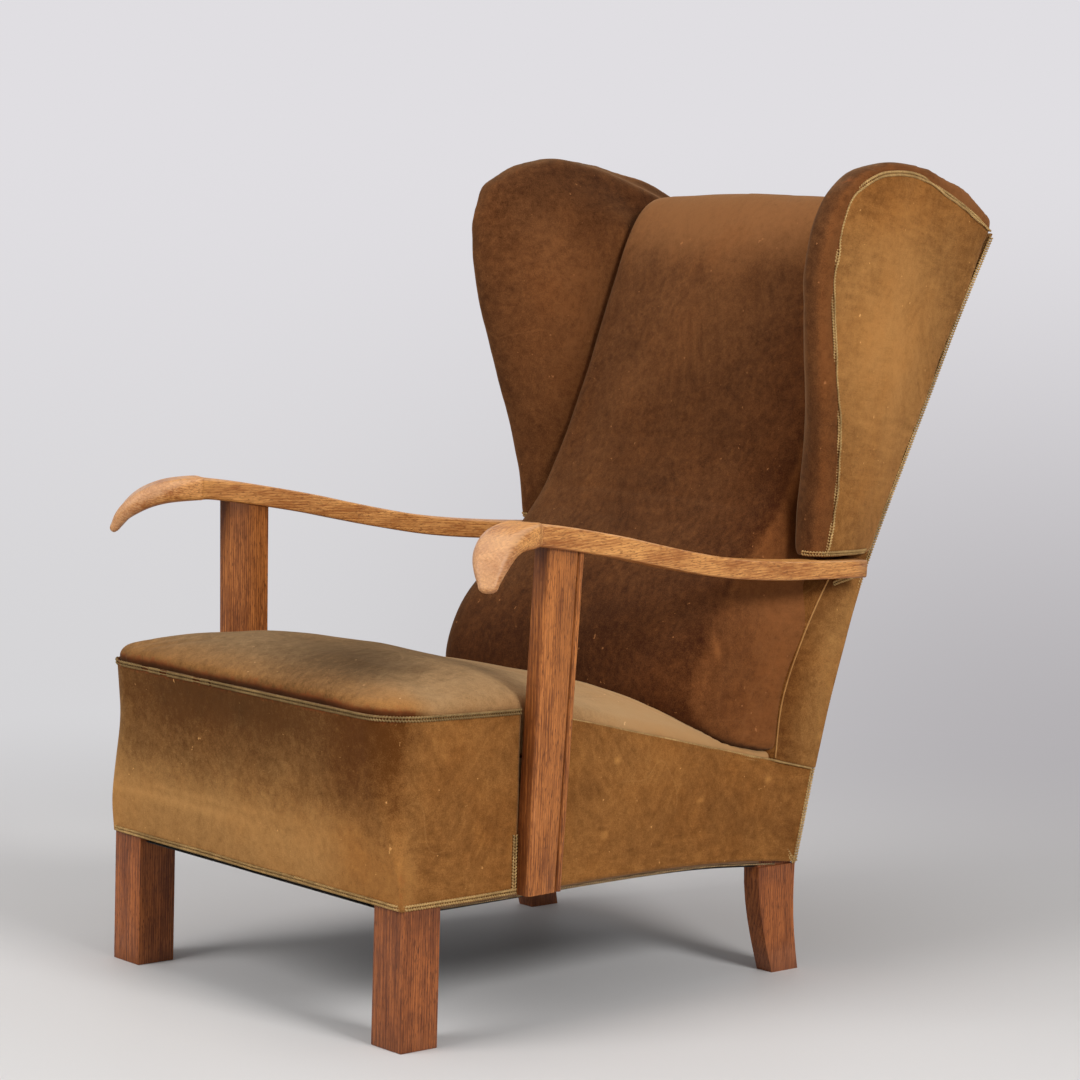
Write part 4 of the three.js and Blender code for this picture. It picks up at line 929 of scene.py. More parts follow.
class ARMCHAIR_OT_posts(bpy.types.Operator):
    """Arm posts in oak with an eased front corner and a beaded rear edge"""

    bl_idname = "armchair.posts"
    bl_label = "Arm posts"

    def execute(self, context):
        bead = context.scene.armchair_sizes.bead
        for side, sign in SIDES.items():
            mesh = lofted(f"arm_post_{side}_oak", post_rings(sign, bead))
            crisp(mesh, 50)
            paint_grain(mesh, "Z")
            points = points_of(mesh)
            rise = (points[:, 2] - POST_HEIGHTS[0]) / (POST_HEIGHTS[1] - POST_HEIGHTS[0])
            deep = points[:, 1] - BACK_SHIFT - POST_FRONT - POST_LEAN * rise
            quirk = bell(np.stack([deep - mix(*POST_DEPTHS, rise) + bead + 0.0017], 1), (0,), (0.0019,))
            # Painted shade: the narrow front face darker than the side, a painted shadow of the handle on the
            # front face's top and painted shade under the arm at the post's top, both in the soil layer; the
            # quirk darker, and a painted highlight along the front arris
            face = fade(deep, 0.0, POST_CHAMFER)
            paint(mesh, tone=0.5 + 0.08 * smoothstep(points[:, 2], 0.3, 0.45) - 0.3 * face)
            shade = face * smoothstep(points[:, 2], 0.48, 0.56) + smoothstep(points[:, 2], 0.556, 0.578)
            paint(
                mesh,
                soil=np.clip(0.55 * shade + 0.9 * quirk, 0, 0.9),
                wear=0.5 * bell(np.stack([deep], 1), (POST_CHAMFER,), (0.0016,)),
            )
            piece(f"arm_post_{side}_oak", mesh, "post oak", "oak", f"arm_post_{side}")
        return {"FINISHED"}


class ARMCHAIR_OT_frame(bpy.types.Operator):
    """Finishes for the hidden frame, springs, bolts and screws"""

    bl_idname = "armchair.frame"
    bl_label = "Hidden frame"

    def execute(self, context):
        beech = ["front_rail", "rear_rail", "back_top_rail", "back_stay_rail"]
        paired = ["side_rail", "front_corner_block", "rear_corner_block", "wing_stile", "wing_top_rail"]
        beech += [f"{name}_{side}" for name in paired for side in SIDES]
        for node in beech:
            dress(node, "frame beech")
        for node in NODES:
            if node.startswith(("seat_spring", "post_bolt", "arm_screw")):
                dress(node, "spring steel")
        return {"FINISHED"}


# ---------------------------------------------------------------- soft goods


def region(mesh, keep, name):
    """The faces of a mesh for which keep is true, as a mesh of their own."""
    form = bmesh.new()
    form.from_mesh(mesh)
    form.faces.ensure_lookup_table()
    gone = [face for face, stays in zip(form.faces, keep) if not stays]
    bmesh.ops.delete(form, geom=gone, context="FACES")
    return to_mesh(form, name)


def cloth_sheet(name, grid, inside):
    """A closed sheet of cloth from rows of points; inside is a point on the side that doesn't show."""
    form = bmesh.new()
    rows = [[form.verts.new(p) for p in row] for row in grid]
    for low, high in zip(rows, rows[1:]):
        for k in range(len(low) - 1):
            form.faces.new((low[k], low[k + 1], high[k + 1], high[k]))
    form.normal_update()
    outward = sum(face.normal.dot(face.calc_center_median() - Vector(inside)) for face in form.faces)
    if outward < 0:
        bmesh.ops.reverse_faces(form, faces=form.faces)
    return shaped(to_mesh(form, name), "SOLIDIFY", thickness=CLOTH, offset=-1.0)


def softened(mesh):
    return shaped(mesh, "SUBSURF", levels=1, render_levels=1)


# Crushed darker pile on the seat's top, each as a place and how far it spreads
SEAT_DARK = (0.10, -0.42, 0.42), (0.13, 0.09, 1)
SEAT_MIDDLE = (-0.02, -0.32, 0.42), (0.2, 0.1, 1)


class ARMCHAIR_OT_seat(bpy.types.Operator):
    """Sprung seat, its velour drawn tight over a crown and rolled down to the braid"""

    bl_idname = "armchair.seat"
    bl_label = "Seat"

    def execute(self, context):
        sizes = context.scene.armchair_sizes
        covered = ("seat_cover", "seat_stuffing")
        mesh = filled(relax(solid_of("seat_top", covered, sizes.pad_voxel), 5), covered)
        points = points_of(mesh)
        depth = points[:, 1] - BACK_SHIFT
        crown = smoothstep(points[:, 2] - seat_edge(depth), 0.006, 0.024)
        full = crown * smoothstep(depth, 0.30, 0.46) * smoothstep(0.26 - np.abs(points[:, 0]), 0.0, 0.09)
        points[:, 2] += sizes.rear_fullness * full
        put(mesh, points)
        swollen(mesh, crown, sizes.swell)
        mesh = softened(mesh)
        rumple(mesh, sizes.unevenness, 3, 0.09)
        points = points_of(mesh)
        x, y, z = points.T
        depth = y - BACK_SHIFT
        roll = z - seat_edge(depth)
        tone = 0.5 - 0.36 * bell(points, *SEAT_DARK) - 0.14 * bell(points, *SEAT_MIDDLE)
        tone += 0.34 * smoothstep(depth, 0.24, 0.42)
        tone += 0.22 * smoothstep(x, 0.16, 0.26) - 0.08 * smoothstep(-x, 0.05, 0.2)
        paint(mesh, tone=tone)
        edge = fade(roll, 0.003, 0.022)
        front = fade(depth, 0.0, 0.05)
        fray = fade(roll, 0.002, 0.009)
        paint(
            mesh,
            warm=0.8 * front * fade(roll, 0.01, 0.05) + 0.25 * edge,
            wear=0.6 * front * edge + 0.4 * front * fray,
            soil=0.5 * front * edge + 0.3 * fray,
        )
        made = piece("seat_top", mesh, "seat velour", "seat_velour", "seat_cover", "seat_stuffing")
        return {"FINISHED"}


# On the seat's front, as X and distance below the braid: a dark stain and two pale folds
FRONT_STAIN = (-0.03, 0.02, 0), (0.26, 0.05, 1)
FRONT_FOLDS = ((-0.16, 0.165, 0), (0.16, 0.006, 1)), ((-0.1, 0.15, 0), (0.2, 0.004, 1))
# Worn cloth over the left front leg's corner
FRONT_CORNER = (0.292, BACK_SHIFT - 0.004, 0.19), (0.006, 0.006, 0.03)
# Pale scuffs on the left side of the seat
SIDE_SCUFFS = ((0.2754, -0.128, 0.308), (0.2772, -0.147, 0.219), (0.2522, 0.155, 0.254), (0.261, 0.027, 0.242))


class ARMCHAIR_OT_seat_sides(bpy.types.Operator):
    """Velour round the seat's front and along its sides"""

    bl_idname = "armchair.seat_sides"
    bl_label = "Seat front and sides"

    def execute(self, context):
        height = context.scene.armchair_sizes.unevenness
        up = np.linspace(0, 1, 50)[:, None]
        share = np.linspace(-1, 1, 280)[None, :]
        x, y = front_outline(share, mix(SEAT_BOTTOMS[0], SEAT_EDGES[0][1], up))
        z = mix(SEAT_BOTTOMS[0], seat_edge(np.maximum(0, y)) - 0.0005, up)
        mesh = cloth_sheet("front_velour", placed(x, y, z), (0, 0, 0.28))
        rumple(mesh, height, 11, 0.11)
        stretched(self.finish(mesh, "front_velour", "front_cover"), 0.24, 0.98, "front_rail")
        for side, sign in SIDES.items():
            up = np.linspace(0, 1, 34)[:, None]
            along = np.linspace(0, 1, 150)[None, :]
            y = mix(POST_SPAN[1] + 0.003, rear_edge(mix(SEAT_BOTTOMS[1], 0.261, up)) - 0.003, along)
            z = mix(seat_bottom(y), seat_edge(y) - 0.0005, up)
            mesh = cloth_sheet(f"side_velour_{side}", placed(sign * seat_side(y), y, z), (0, 0, 0.28))
            rumple(mesh, height, 13 + sign, 0.09)
            made = self.finish(mesh, f"side_velour_{side}", f"side_cover_{side}")
            stretched(made, 0.25, 0.48, f"side_rail_{side}")
        return {"FINISHED"}

    def finish(self, mesh, name, node):
        points = points_of(mesh)
        x, y, z = points.T
        depth = y - BACK_SHIFT
        below = seat_edge(depth) - z
        front = fade(depth, -0.01, 0.03)
        flat = np.stack([x, below, z * 0], 1)
        stain = bell(flat, *FRONT_STAIN)
        fold = bell(flat, *FRONT_FOLDS[0]) + 0.6 * bell(flat, *FRONT_FOLDS[1])
        right = smoothstep(x, 0.12, 0.24) * front
        tone = 0.34 + 0.32 * smoothstep(below, 0.09, 0.17) - 0.34 * stain - 0.12 * right + 0.2 * fold
        scuffs = sum(bell(points, place, (0.02, 0.006, 0.004)) for place in SIDE_SCUFFS)
        paint(
            mesh,
            tone=mix(0.38 + 0.05 * smoothstep(below, 0.08, 0.03), tone, front) + 0.35 * scuffs,
            warm=mix(0.6, 0.05 + 0.5 * right, front),
        )
        hem = fade(below, 0.003, 0.012) * (0.4 + 0.6 * front)
        paint(mesh, soil=0.42 * stain * front + 0.4 * hem)
        edge = fade(below, 0.004, 0.016) * front
        paint(mesh, wear=0.55 * bell(points, *FRONT_CORNER) + 0.75 * edge)
        return piece(name, mesh, "gold velour", "gold_velour", node)


# Lighter pile below the back's top edge, and a pale scuff on its left side
BACK_LIGHT = (0.0, 0.0, 0.86), (0.12, 1, 0.1)
BACK_SCUFF = (0.2489, 0.0607, 0.4263), (0.02, 0.005, 0.014)


class ARMCHAIR_OT_back(bpy.types.Operator):
    """Inside back with its lumbar bulge and rolled top edge"""

    bl_idname = "armchair.back"
    bl_label = "Inside back"

    def execute(self, context):
        sizes = context.scene.armchair_sizes
        covered = ("back_cover", "back_stuffing")
        mesh = filled(relax(solid_of("back_pad", covered, sizes.pad_voxel), 5), covered)
        points, normals = points_of(mesh), normals_of(mesh)
        face = smoothstep(-normals[:, 1] + normals[:, 2], 0.3, 0.8)
        swollen(mesh, face * fade(np.abs(points[:, 0]), 0.16, 0.21), sizes.swell)
        mesh = softened(mesh)
        rumple(mesh, sizes.unevenness, 5, 0.12)
        points, normals = points_of(mesh), normals_of(mesh)
        x, y, z = points.T
        low = fade(z, 0.36, 0.62)
        crest = smoothstep(z, 0.88, 0.975)
        side = smoothstep(np.abs(normals[:, 0]), 0.5, 0.9)
        edge = smoothstep(x, 0.1, 0.22) * smoothstep(z, 0.45, 0.6) * (1 - crest)
        # The rolled crest is painted lighter: a painted sheen highlight together with its worn pile
        tone = 0.4 - 0.16 * low * (1 - side) + 0.42 * crest - 0.14 * edge + 0.1 * side
        tone += 0.14 * bell(points, *BACK_LIGHT) + 0.3 * bell(points, *BACK_SCUFF)
        tone += 0.2 * side * smoothstep(y, 0.05, 0.17)
        paint(
            mesh,
            tone=tone,
            warm=0.25 * low + 0.35 * edge - 0.3 * crest + 0.15,
            wear=0.12 * crest,
            soil=0.15 * low * (1 - side),
        )
        made = piece("back_pad", mesh, "brown velour", "brown_velour", "back_cover", "back_stuffing")
        return {"FINISHED"}


# Braid round the left wing's outer panel, from its lower front corner over the top to the rear edge
WING_BRAID = (
    (0.2896, 0.2074, 0.5420),
    (0.2960, 0.2125, 0.6127),
    (0.3129, 0.1957, 0.7154),
    (0.3227, 0.1765, 0.7787),
    (0.3288, 0.1640, 0.8250),
    (0.3314, 0.1582, 0.8474),
    (0.3359, 0.1528, 0.8931),
    (0.3407, 0.1558, 0.9387),
    (0.3441, 0.1658, 0.9842),
    (0.3442, 0.1809, 1.0006),
    (0.3417, 0.2166, 1.0190),
    (0.3365, 0.2584, 1.0244),
    (0.3294, 0.3042, 1.0225),
    (0.3225, 0.3437, 1.0109),
    (0.3093, 0.4136, 0.9871),
    (0.2993, 0.4573, 0.9700),
    (0.2927, 0.4873, 0.9560),
)


# Braid along the foot of the left wing, and the short run under the arm's rear end
WING_FOOT_BRAID = (
    (0.2667, 0.1877, 0.5440),
    (0.2740, 0.1880, 0.5440),
    (0.2811, 0.1909, 0.5440),
    (0.2871, 0.1974, 0.5440),
    (0.2893, 0.2225, 0.5440),
    (0.2851, 0.2546, 0.5430),
    (0.2780, 0.2771, 0.5420),
    (0.2685, 0.2985, 0.5420),
)
ARM_END_BRAID = (
    (0.2521, 0.2603, 0.5001),
    (0.2523, 0.2730, 0.5034),
    (0.2524, 0.2877, 0.5059),
    (0.2526, 0.3117, 0.5099),
)

# On the left wing: a painted pool of light on the panel and on the inside, and the worn patch of its border
PANEL_PAINTED_LIGHT = (0.3, 0.29, 0.80), (1, 0.10, 0.16)
WING_PAINTED_LIGHT = (-0.33, 0.25, 0.82), (9, 0.09, 0.16)
WING_PATCH = (0.34, 0.165, 0.95), (1, 0.05, 0.06)


def within(across, up, outline):
    """Which points lie inside a closed outline."""
    inside = np.zeros(len(across), bool)
    for (a0, u0), (a1, u1) in zip(outline, np.roll(outline, -1, axis=0)):
        level = (u0 > up) != (u1 > up)
        inside ^= level & (across < (a1 - a0) * (up - u0) / (u1 - u0 + 1e-12) + a0)
    return inside


class ARMCHAIR_OT_wings(bpy.types.Operator):
    """Wings: a padded roll and inside face, and a flat panel on the outside"""

    bl_idname = "armchair.wings"
    bl_label = "Wings"

    def execute(self, context):
        sizes = context.scene.armchair_sizes
        braid = flowing(WING_BRAID, 4)[:, 1:]
        outline = np.vstack([braid, [(0.6, 0.956), (0.6, 0.4), (braid[0, 0], 0.4)]])
        for side, sign in SIDES.items():
            nodes = [f"{name}_{side}" for name in ("wing_cover", "wing_panel", "wing_stuffing", "wing_stile")]
            nodes.append(f"wing_top_rail_{side}")
            mesh = filled(relax(solid_of(f"wing_{side}_pad", nodes, 0.005), 4), nodes)
            points, normals = points_of(mesh), normals_of(mesh)
            inner = smoothstep(-sign * normals[:, 0], 0.1, 0.7)
            relax(mesh, 16, inner * fade(points[:, 1], 0.34, 0.42))
            self.settle(mesh, sign)
            swollen(mesh, inner * fade(points[:, 1], 0.25, 0.32), sizes.swell * 0.6)
            mesh = softened(mesh)
            rumple(mesh, sizes.unevenness, 7 + sign, 0.08)
            points = points_of(mesh)
            behind = rear_edge(points[:, 2]) + BACK_SHIFT - 0.006
            points[:, 1] = np.where(points[:, 2] < 0.953, np.minimum(points[:, 1], behind), points[:, 1])
            put(mesh, points)
            centres = read(mesh.polygons, "center").astype(float)
            outer = sign * read(mesh.polygons, "normal")[:, 0] > 0.1
            panel = region(mesh, outer & within(centres[:, 1], centres[:, 2], outline), f"wing_{side}_panel")
            put(panel, points_of(panel) + normals_of(panel) * 0.0006)
            panel = shaped(panel, "SOLIDIFY", thickness=0.0025, offset=-1.0)
            self.paint_pad(mesh, sign)
            covered = f"wing_cover_{side}", f"wing_stuffing_{side}"
            piece(f"wing_{side}_pad", mesh, "brown velour", "brown_velour", *covered)
            points = points_of(panel) * (sign, 1, 1)
            z = points[:, 2]
            # The panel's tone carries a painted pool of light round its middle
            paint(
                panel,
                tone=0.42 + 0.36 * bell(points, *PANEL_PAINTED_LIGHT),
                warm=0.36 + 0.3 * smoothstep(z, 0.9, 1.0) + 0.15 * fade(z, 0.56, 0.7),
            )
            made = piece(f"wing_{side}_panel", panel, "gold velour", "gold_velour", f"wing_panel_{side}")
            stretched(made, 0.37, 0.52, f"wing_{side}_pad")
        return {"FINISHED"}

    def settle(self, mesh, sign):
        """Lifts the outer rear corner of the wing's top and lets its inner edge fall towards the back."""
        points = points_of(mesh)
        x, y, z = points.T
        middle = mix(0.331, 0.272, smoothstep(y, 0.2, 0.49))
        inner = smoothstep(middle - sign * x, -0.016, 0.016)
        upper = smoothstep(z, 0.84, 0.95)
        lift = 0.011 * smoothstep(y, 0.36, 0.47) * (1 - inner) - 0.010 * smoothstep(y, 0.24, 0.42) * inner
        points[:, 2] += lift * upper
        put(mesh, points)

    def paint_pad(self, mesh, sign):
        points, facing = points_of(mesh) * (sign, 1, 1), sign * normals_of(mesh)[:, 0]
        roll = fade(np.abs(facing), 0.3, 0.95)
        inner = smoothstep(-facing, 0.2, 0.9)
        outer = smoothstep(facing, 0.1, 0.8)
        top = smoothstep(points[:, 2], 0.90, 1.01)
        # glow is a painted pool of light on the inside face
        glow = inner * bell(points, *WING_PAINTED_LIGHT)
        rear = smoothstep(points[:, 1], 0.30, 0.45) * top
        patch = outer * bell(points, *WING_PATCH)
        paint(
            mesh,
            tone=0.4 + 0.2 * glow + 0.16 * outer - 0.16 * top * inner + 0.3 * rear * (1 - inner),
            warm=0.12 + 0.3 * outer * (1 - rear),
            wear=0.25 * roll * top + 0.3 * patch,
            soil=0.25 * top * inner * (1 - rear),
        )


# Seam between the back's side and the side panel under the arm, as (height, depth), in the left panel's plane
SIDE_SEAM = ((0.250, 0.632), (0.285, 0.634), (0.356, 0.643), (0.430, 0.674), (0.489, 0.708), (0.535, 0.740))


class ARMCHAIR_OT_side_panels(bpy.types.Operator):
    """Side panels under the arms, between the back's seam and the rear edge, and the outside back"""

    bl_idname = "armchair.side_panels"
    bl_label = "Side panels and outside back"

    def execute(self, context):
        height = context.scene.armchair_sizes.unevenness
        up = np.linspace(0, 1, 90)[:, None]
        along = np.linspace(0, 1, 60)[None, :]
        z = mix(0.262, 0.5415, up)
        for _ in range(2):
            seam = follow(SIDE_SEAM, z)
            y = mix(seam - 0.045, rear_edge(z) - 0.002, along)
            z = mix(seat_edge(y) + 0.001, 0.5415, up)
        x = 0.2530 - 0.024 * smoothstep(seam - y, -0.002, 0.032)
        for side, sign in SIDES.items():
            name = f"side_panel_{side}_velour"
            mesh = cloth_sheet(name, placed(sign * x, y, z), (0, 0, 0.4))
            rumple(mesh, height * 0.6, 17 + sign, 0.08)
            points = points_of(mesh)
            near = fade(points[:, 1] - BACK_SHIFT - follow(SIDE_SEAM, points[:, 2]), -0.01, 0.08)
            under = smoothstep(points[:, 2], 0.46, 0.53)
            # Darker and redder towards the seam with the back, and painted shade under the arm at the panel's
            # top, also in the soil layer
            paint(
                mesh,
                tone=0.52 - 0.26 * near - 0.2 * under,
                warm=0.15 + 0.4 * near + 0.15 * under,
                soil=0.12 * near + 0.5 * under * near,
            )
            made = piece(name, mesh, "gold velour", "gold_velour", f"side_panel_{side}")
            stretched(made, 0.18, 0.31, f"rear_leg_{side}")
            self.seam(side, sign)
        z = np.linspace(0.141, 0.952, 160)[:, None]
        across = np.linspace(-1, 1, 100)[None, :]
        grid = placed(across * (rear_half(z) - 0.0005), rear_edge(z) - 0.0025, z)
        mesh = cloth_sheet("outside_back_velour", grid, (0, 0, 0.5))
        rumple(mesh, height, 23, 0.14)
        paint(mesh, tone=0.45)
        made = piece("outside_back_velour", mesh, "gold velour", "gold_velour", "outside_back_cover")
        stretched(made, 0.59, 0.89, "back_top_rail", "rear_rail")
        return {"FINISHED"}

    def seam(self, side, sign):
        """The fine raised seam where the back's side meets the panel."""
        z = np.linspace(0.281, 0.532, 80)
        path = placed(sign * 0.2535, follow(SIDE_SEAM, z), z)
        turn = np.linspace(0, 2 * np.pi, 8, endpoint=False)
        ring = np.stack([np.cos(turn), np.sin(turn), 0 * turn], 1) * 0.0011
        mesh = lofted(f"side_seam_{side}", [[tuple(p) for p in centre + ring] for centre in path])
        paint(mesh, tone=0.75)
        piece(f"side_seam_{side}", mesh, "gold velour", "gold_velour")


# Cloth turned in along both edges together
TURNING = 0.02


class ARMCHAIR_OT_inner_cloth(bpy.types.Operator):
    """Webbing, hessian, wadding and the dust cloth under the seat"""

    bl_idname = "armchair.inner_cloth"
    bl_label = "Webbing and under cloths"

    def execute(self, context):
        for node, finish, slot in (
            ("seat_webbing", "jute webbing", "jute"),
            ("back_webbing", "jute webbing", "jute"),
            ("seat_hessian", "jute webbing", "jute"),
            ("front_wadding", "curled hair", "hair"),
            ("dust_cloth", "dust cloth", "black_cloth"),
        ):
            mesh = subdivided(merged(node), f"{node}_cloth")
            if node != "front_wadding":
                rumple(mesh, 0.0003, 31, 0.05)
            made = piece(f"{node}_cloth", mesh, finish, slot, node)
            if node in ("seat_hessian", "dust_cloth"):
                spans = np.ptp(read(mesh.vertices, "co"), axis=0)
                flat = [float(span) + TURNING for span in spans[:2]]
                stretched(made, *flat, "side_rail_left", "side_rail_right")
        return {"FINISHED"}


# ---------------------------------------------------------------- braid


class Tree:
    """A Geometry Nodes tree that is put together node by node."""

    def __init__(self, name, inputs):
        self.tree = bpy.data.node_groups.new(name, "GeometryNodeTree")
        rim = self.tree.interface
        rim.new_socket("Geometry", in_out="INPUT", socket_type="NodeSocketGeometry")
        for label, kind in inputs:
            rim.new_socket(label, in_out="INPUT", socket_type=f"NodeSocket{kind}")
        rim.new_socket("Geometry", in_out="OUTPUT", socket_type="NodeSocketGeometry")
        self.given = self.tree.nodes.new("NodeGroupInput")

    def node(self, kind, settings=None, sockets=None, output=0):
        made = self.tree.nodes.new(kind)
        for name, value in (settings or {}).items():
            setattr(made, name, value)
        for name, value in (sockets or {}).items():
            if isinstance(value, bpy.types.NodeSocket):
                self.tree.links.new(value, made.inputs[name])
            else:
                made.inputs[name].default_value = value
        return made.outputs[output]

    def maths(self, operation, a, b):
        return self.node("ShaderNodeMath", {"operation": operation}, {0: a, 1: b})

    def vector(self, operation, a, b, socket=1):
        return self.node("ShaderNodeVectorMath", {"operation": operation}, {0: a, socket: b})

    def scaled(self, a, by):
        return self.node("ShaderNodeVectorMath", {"operation": "SCALE"}, {0: a, "Scale": by})

    def attribute(self, name, kind):
        return self.node("GeometryNodeInputNamedAttribute", {"data_type": kind}, {"Name": name})

    def join(self, parts):
        made = self.tree.nodes.new("GeometryNodeJoinGeometry")
        for part in parts:
            self.tree.links.new(part, made.inputs[0])
        return made.outputs[0]

    def close(self, geometry, material):
        solid = self.node("GeometryNodeRealizeInstances", {}, {"Geometry": geometry})
        smooth = self.node("GeometryNodeSetShadeSmooth", {}, {"Geometry": solid})
        dressed = self.node("GeometryNodeSetMaterial", {}, {"Geometry": smooth, "Material": material})
        self.tree.links.new(dressed, self.tree.nodes.new("NodeGroupOutput").inputs[0])
        return self.tree


def braid_tree():
    """Two rows of slanted stitches, leaning opposite ways, along a path over a thin core."""
    inputs = (("Width", "Float"), ("Stitch", "Float"), ("Slant", "Float"), ("Finish", "Material"))
    tree = Tree("gimp braid", inputs)
    given = tree.given.outputs
    path = tree.node("GeometryNodeMeshToCurve", {}, {"Mesh": given["Geometry"]})
    steps = {"Curve": path, "Length": given["Stitch"]}
    path = tree.node("GeometryNodeResampleCurve", {"mode": "LENGTH"}, steps)
    along = tree.node("GeometryNodeInputTangent")
    rise = tree.attribute("rise", "FLOAT_VECTOR")
    gone = tree.attribute("gone", "FLOAT")
    whole = tree.node("FunctionNodeCompare", {"operation": "LESS_THAN"}, {0: gone, 1: 0.5})
    across = tree.vector("CROSS_PRODUCT", along, rise)
    side = tree.node("ShaderNodeVectorMath", {"operation": "NORMALIZE"}, {0: across})
    parts = []
    for sign in (1, -1):
        step = tree.scaled(side, tree.maths("MULTIPLY", given["Width"], sign / 4))
        row = tree.node("GeometryNodeSetPosition", {}, {"Geometry": path, "Offset": step})
        core = tree.node("GeometryNodeCurvePrimitiveCircle", {}, {"Resolution": 4, "Radius": 0.0007})
        parts.append(tree.node("GeometryNodeCurveToMesh", {}, {"Curve": row, "Profile Curve": core}))
        lean = tree.scaled(side, tree.maths("MULTIPLY", given["Slant"], sign))
        turned = tree.node(
            "FunctionNodeAxesToRotation",
            {"primary_axis": "X", "secondary_axis": "Z"},
            {"Primary Axis": tree.vector("ADD", along, lean), "Secondary Axis": rise},
        )
        size = tree.node(
            "ShaderNodeCombineXYZ",
            {},
            {
                "X": tree.maths("MULTIPLY", given["Width"], 0.35),
                "Y": tree.maths("MULTIPLY", given["Stitch"], 0.35),
                "Z": tree.maths("MULTIPLY", given["Width"], 0.22),
            },
        )
        stitch = tree.node("GeometryNodeMeshIcoSphere", {}, {"Radius": 1.0, "Subdivisions": 1})
        sewn = tree.node(
            "GeometryNodeInstanceOnPoints",
            {},
            {"Points": row, "Selection": whole, "Instance": stitch, "Rotation": turned, "Scale": size},
        )
        chance = tree.node("FunctionNodeRandomValue", {"data_type": "FLOAT"}, {"Seed": 5 + sign}, 1)
        parts.append(
            tree.node(
                "GeometryNodeStoreNamedAttribute",
                {"data_type": "FLOAT", "domain": "INSTANCE"},
                {"Geometry": sewn, "Name": "strand", "Value": chance},
            )
        )
    return tree.close(tree.join(parts), given["Finish"])


def evened(path, step=0.004):
    """Points at even steps along a path."""
    path = np.array(path, float)
    run = np.concatenate([[0], np.cumsum(np.linalg.norm(np.diff(path, axis=0), axis=1))])
    places = np.linspace(0, run[-1], max(2, int(run[-1] / step)))
    return np.stack([np.interp(places, run, path[:, k]) for k in range(3)], axis=1)


def smoothed(values, times):
    """Evens out a row of points while its ends stay."""
    values = values.copy()
    for _ in range(times):
        values[1:-1] = values[1:-1] / 2 + (values[:-2] + values[2:]) / 4
    return values


def laid(path, covers, lift):
    """A path brought onto the covers, with the direction away from them at each point."""
    found = [covers.find_nearest(Vector(p)) for p in path]
    rises = smoothed(np.array([hit[1][:] for hit in found]), 8)
    rises /= np.linalg.norm(rises, axis=1, keepdims=True)
    return smoothed(np.array([hit[0][:] for hit in found]), 6) + rises * lift, rises


def covers_tree():
    """Every cover made so far, for laying braid on."""
    form = bmesh.new()
    for made in bpy.context.scene.objects:
        cover = made.name.endswith(("velour", "pad", "panel", "top"))
        if made.type == "MESH" and cover and not made.hide_render:
            form.from_mesh(made.data)
    return BVHTree.FromBMesh(form)


# How far below the seat's edge the braid's middle runs, and how far above the cloth
BRAID_BELOW = 0.003
BRAID_LIFT = 0.0012


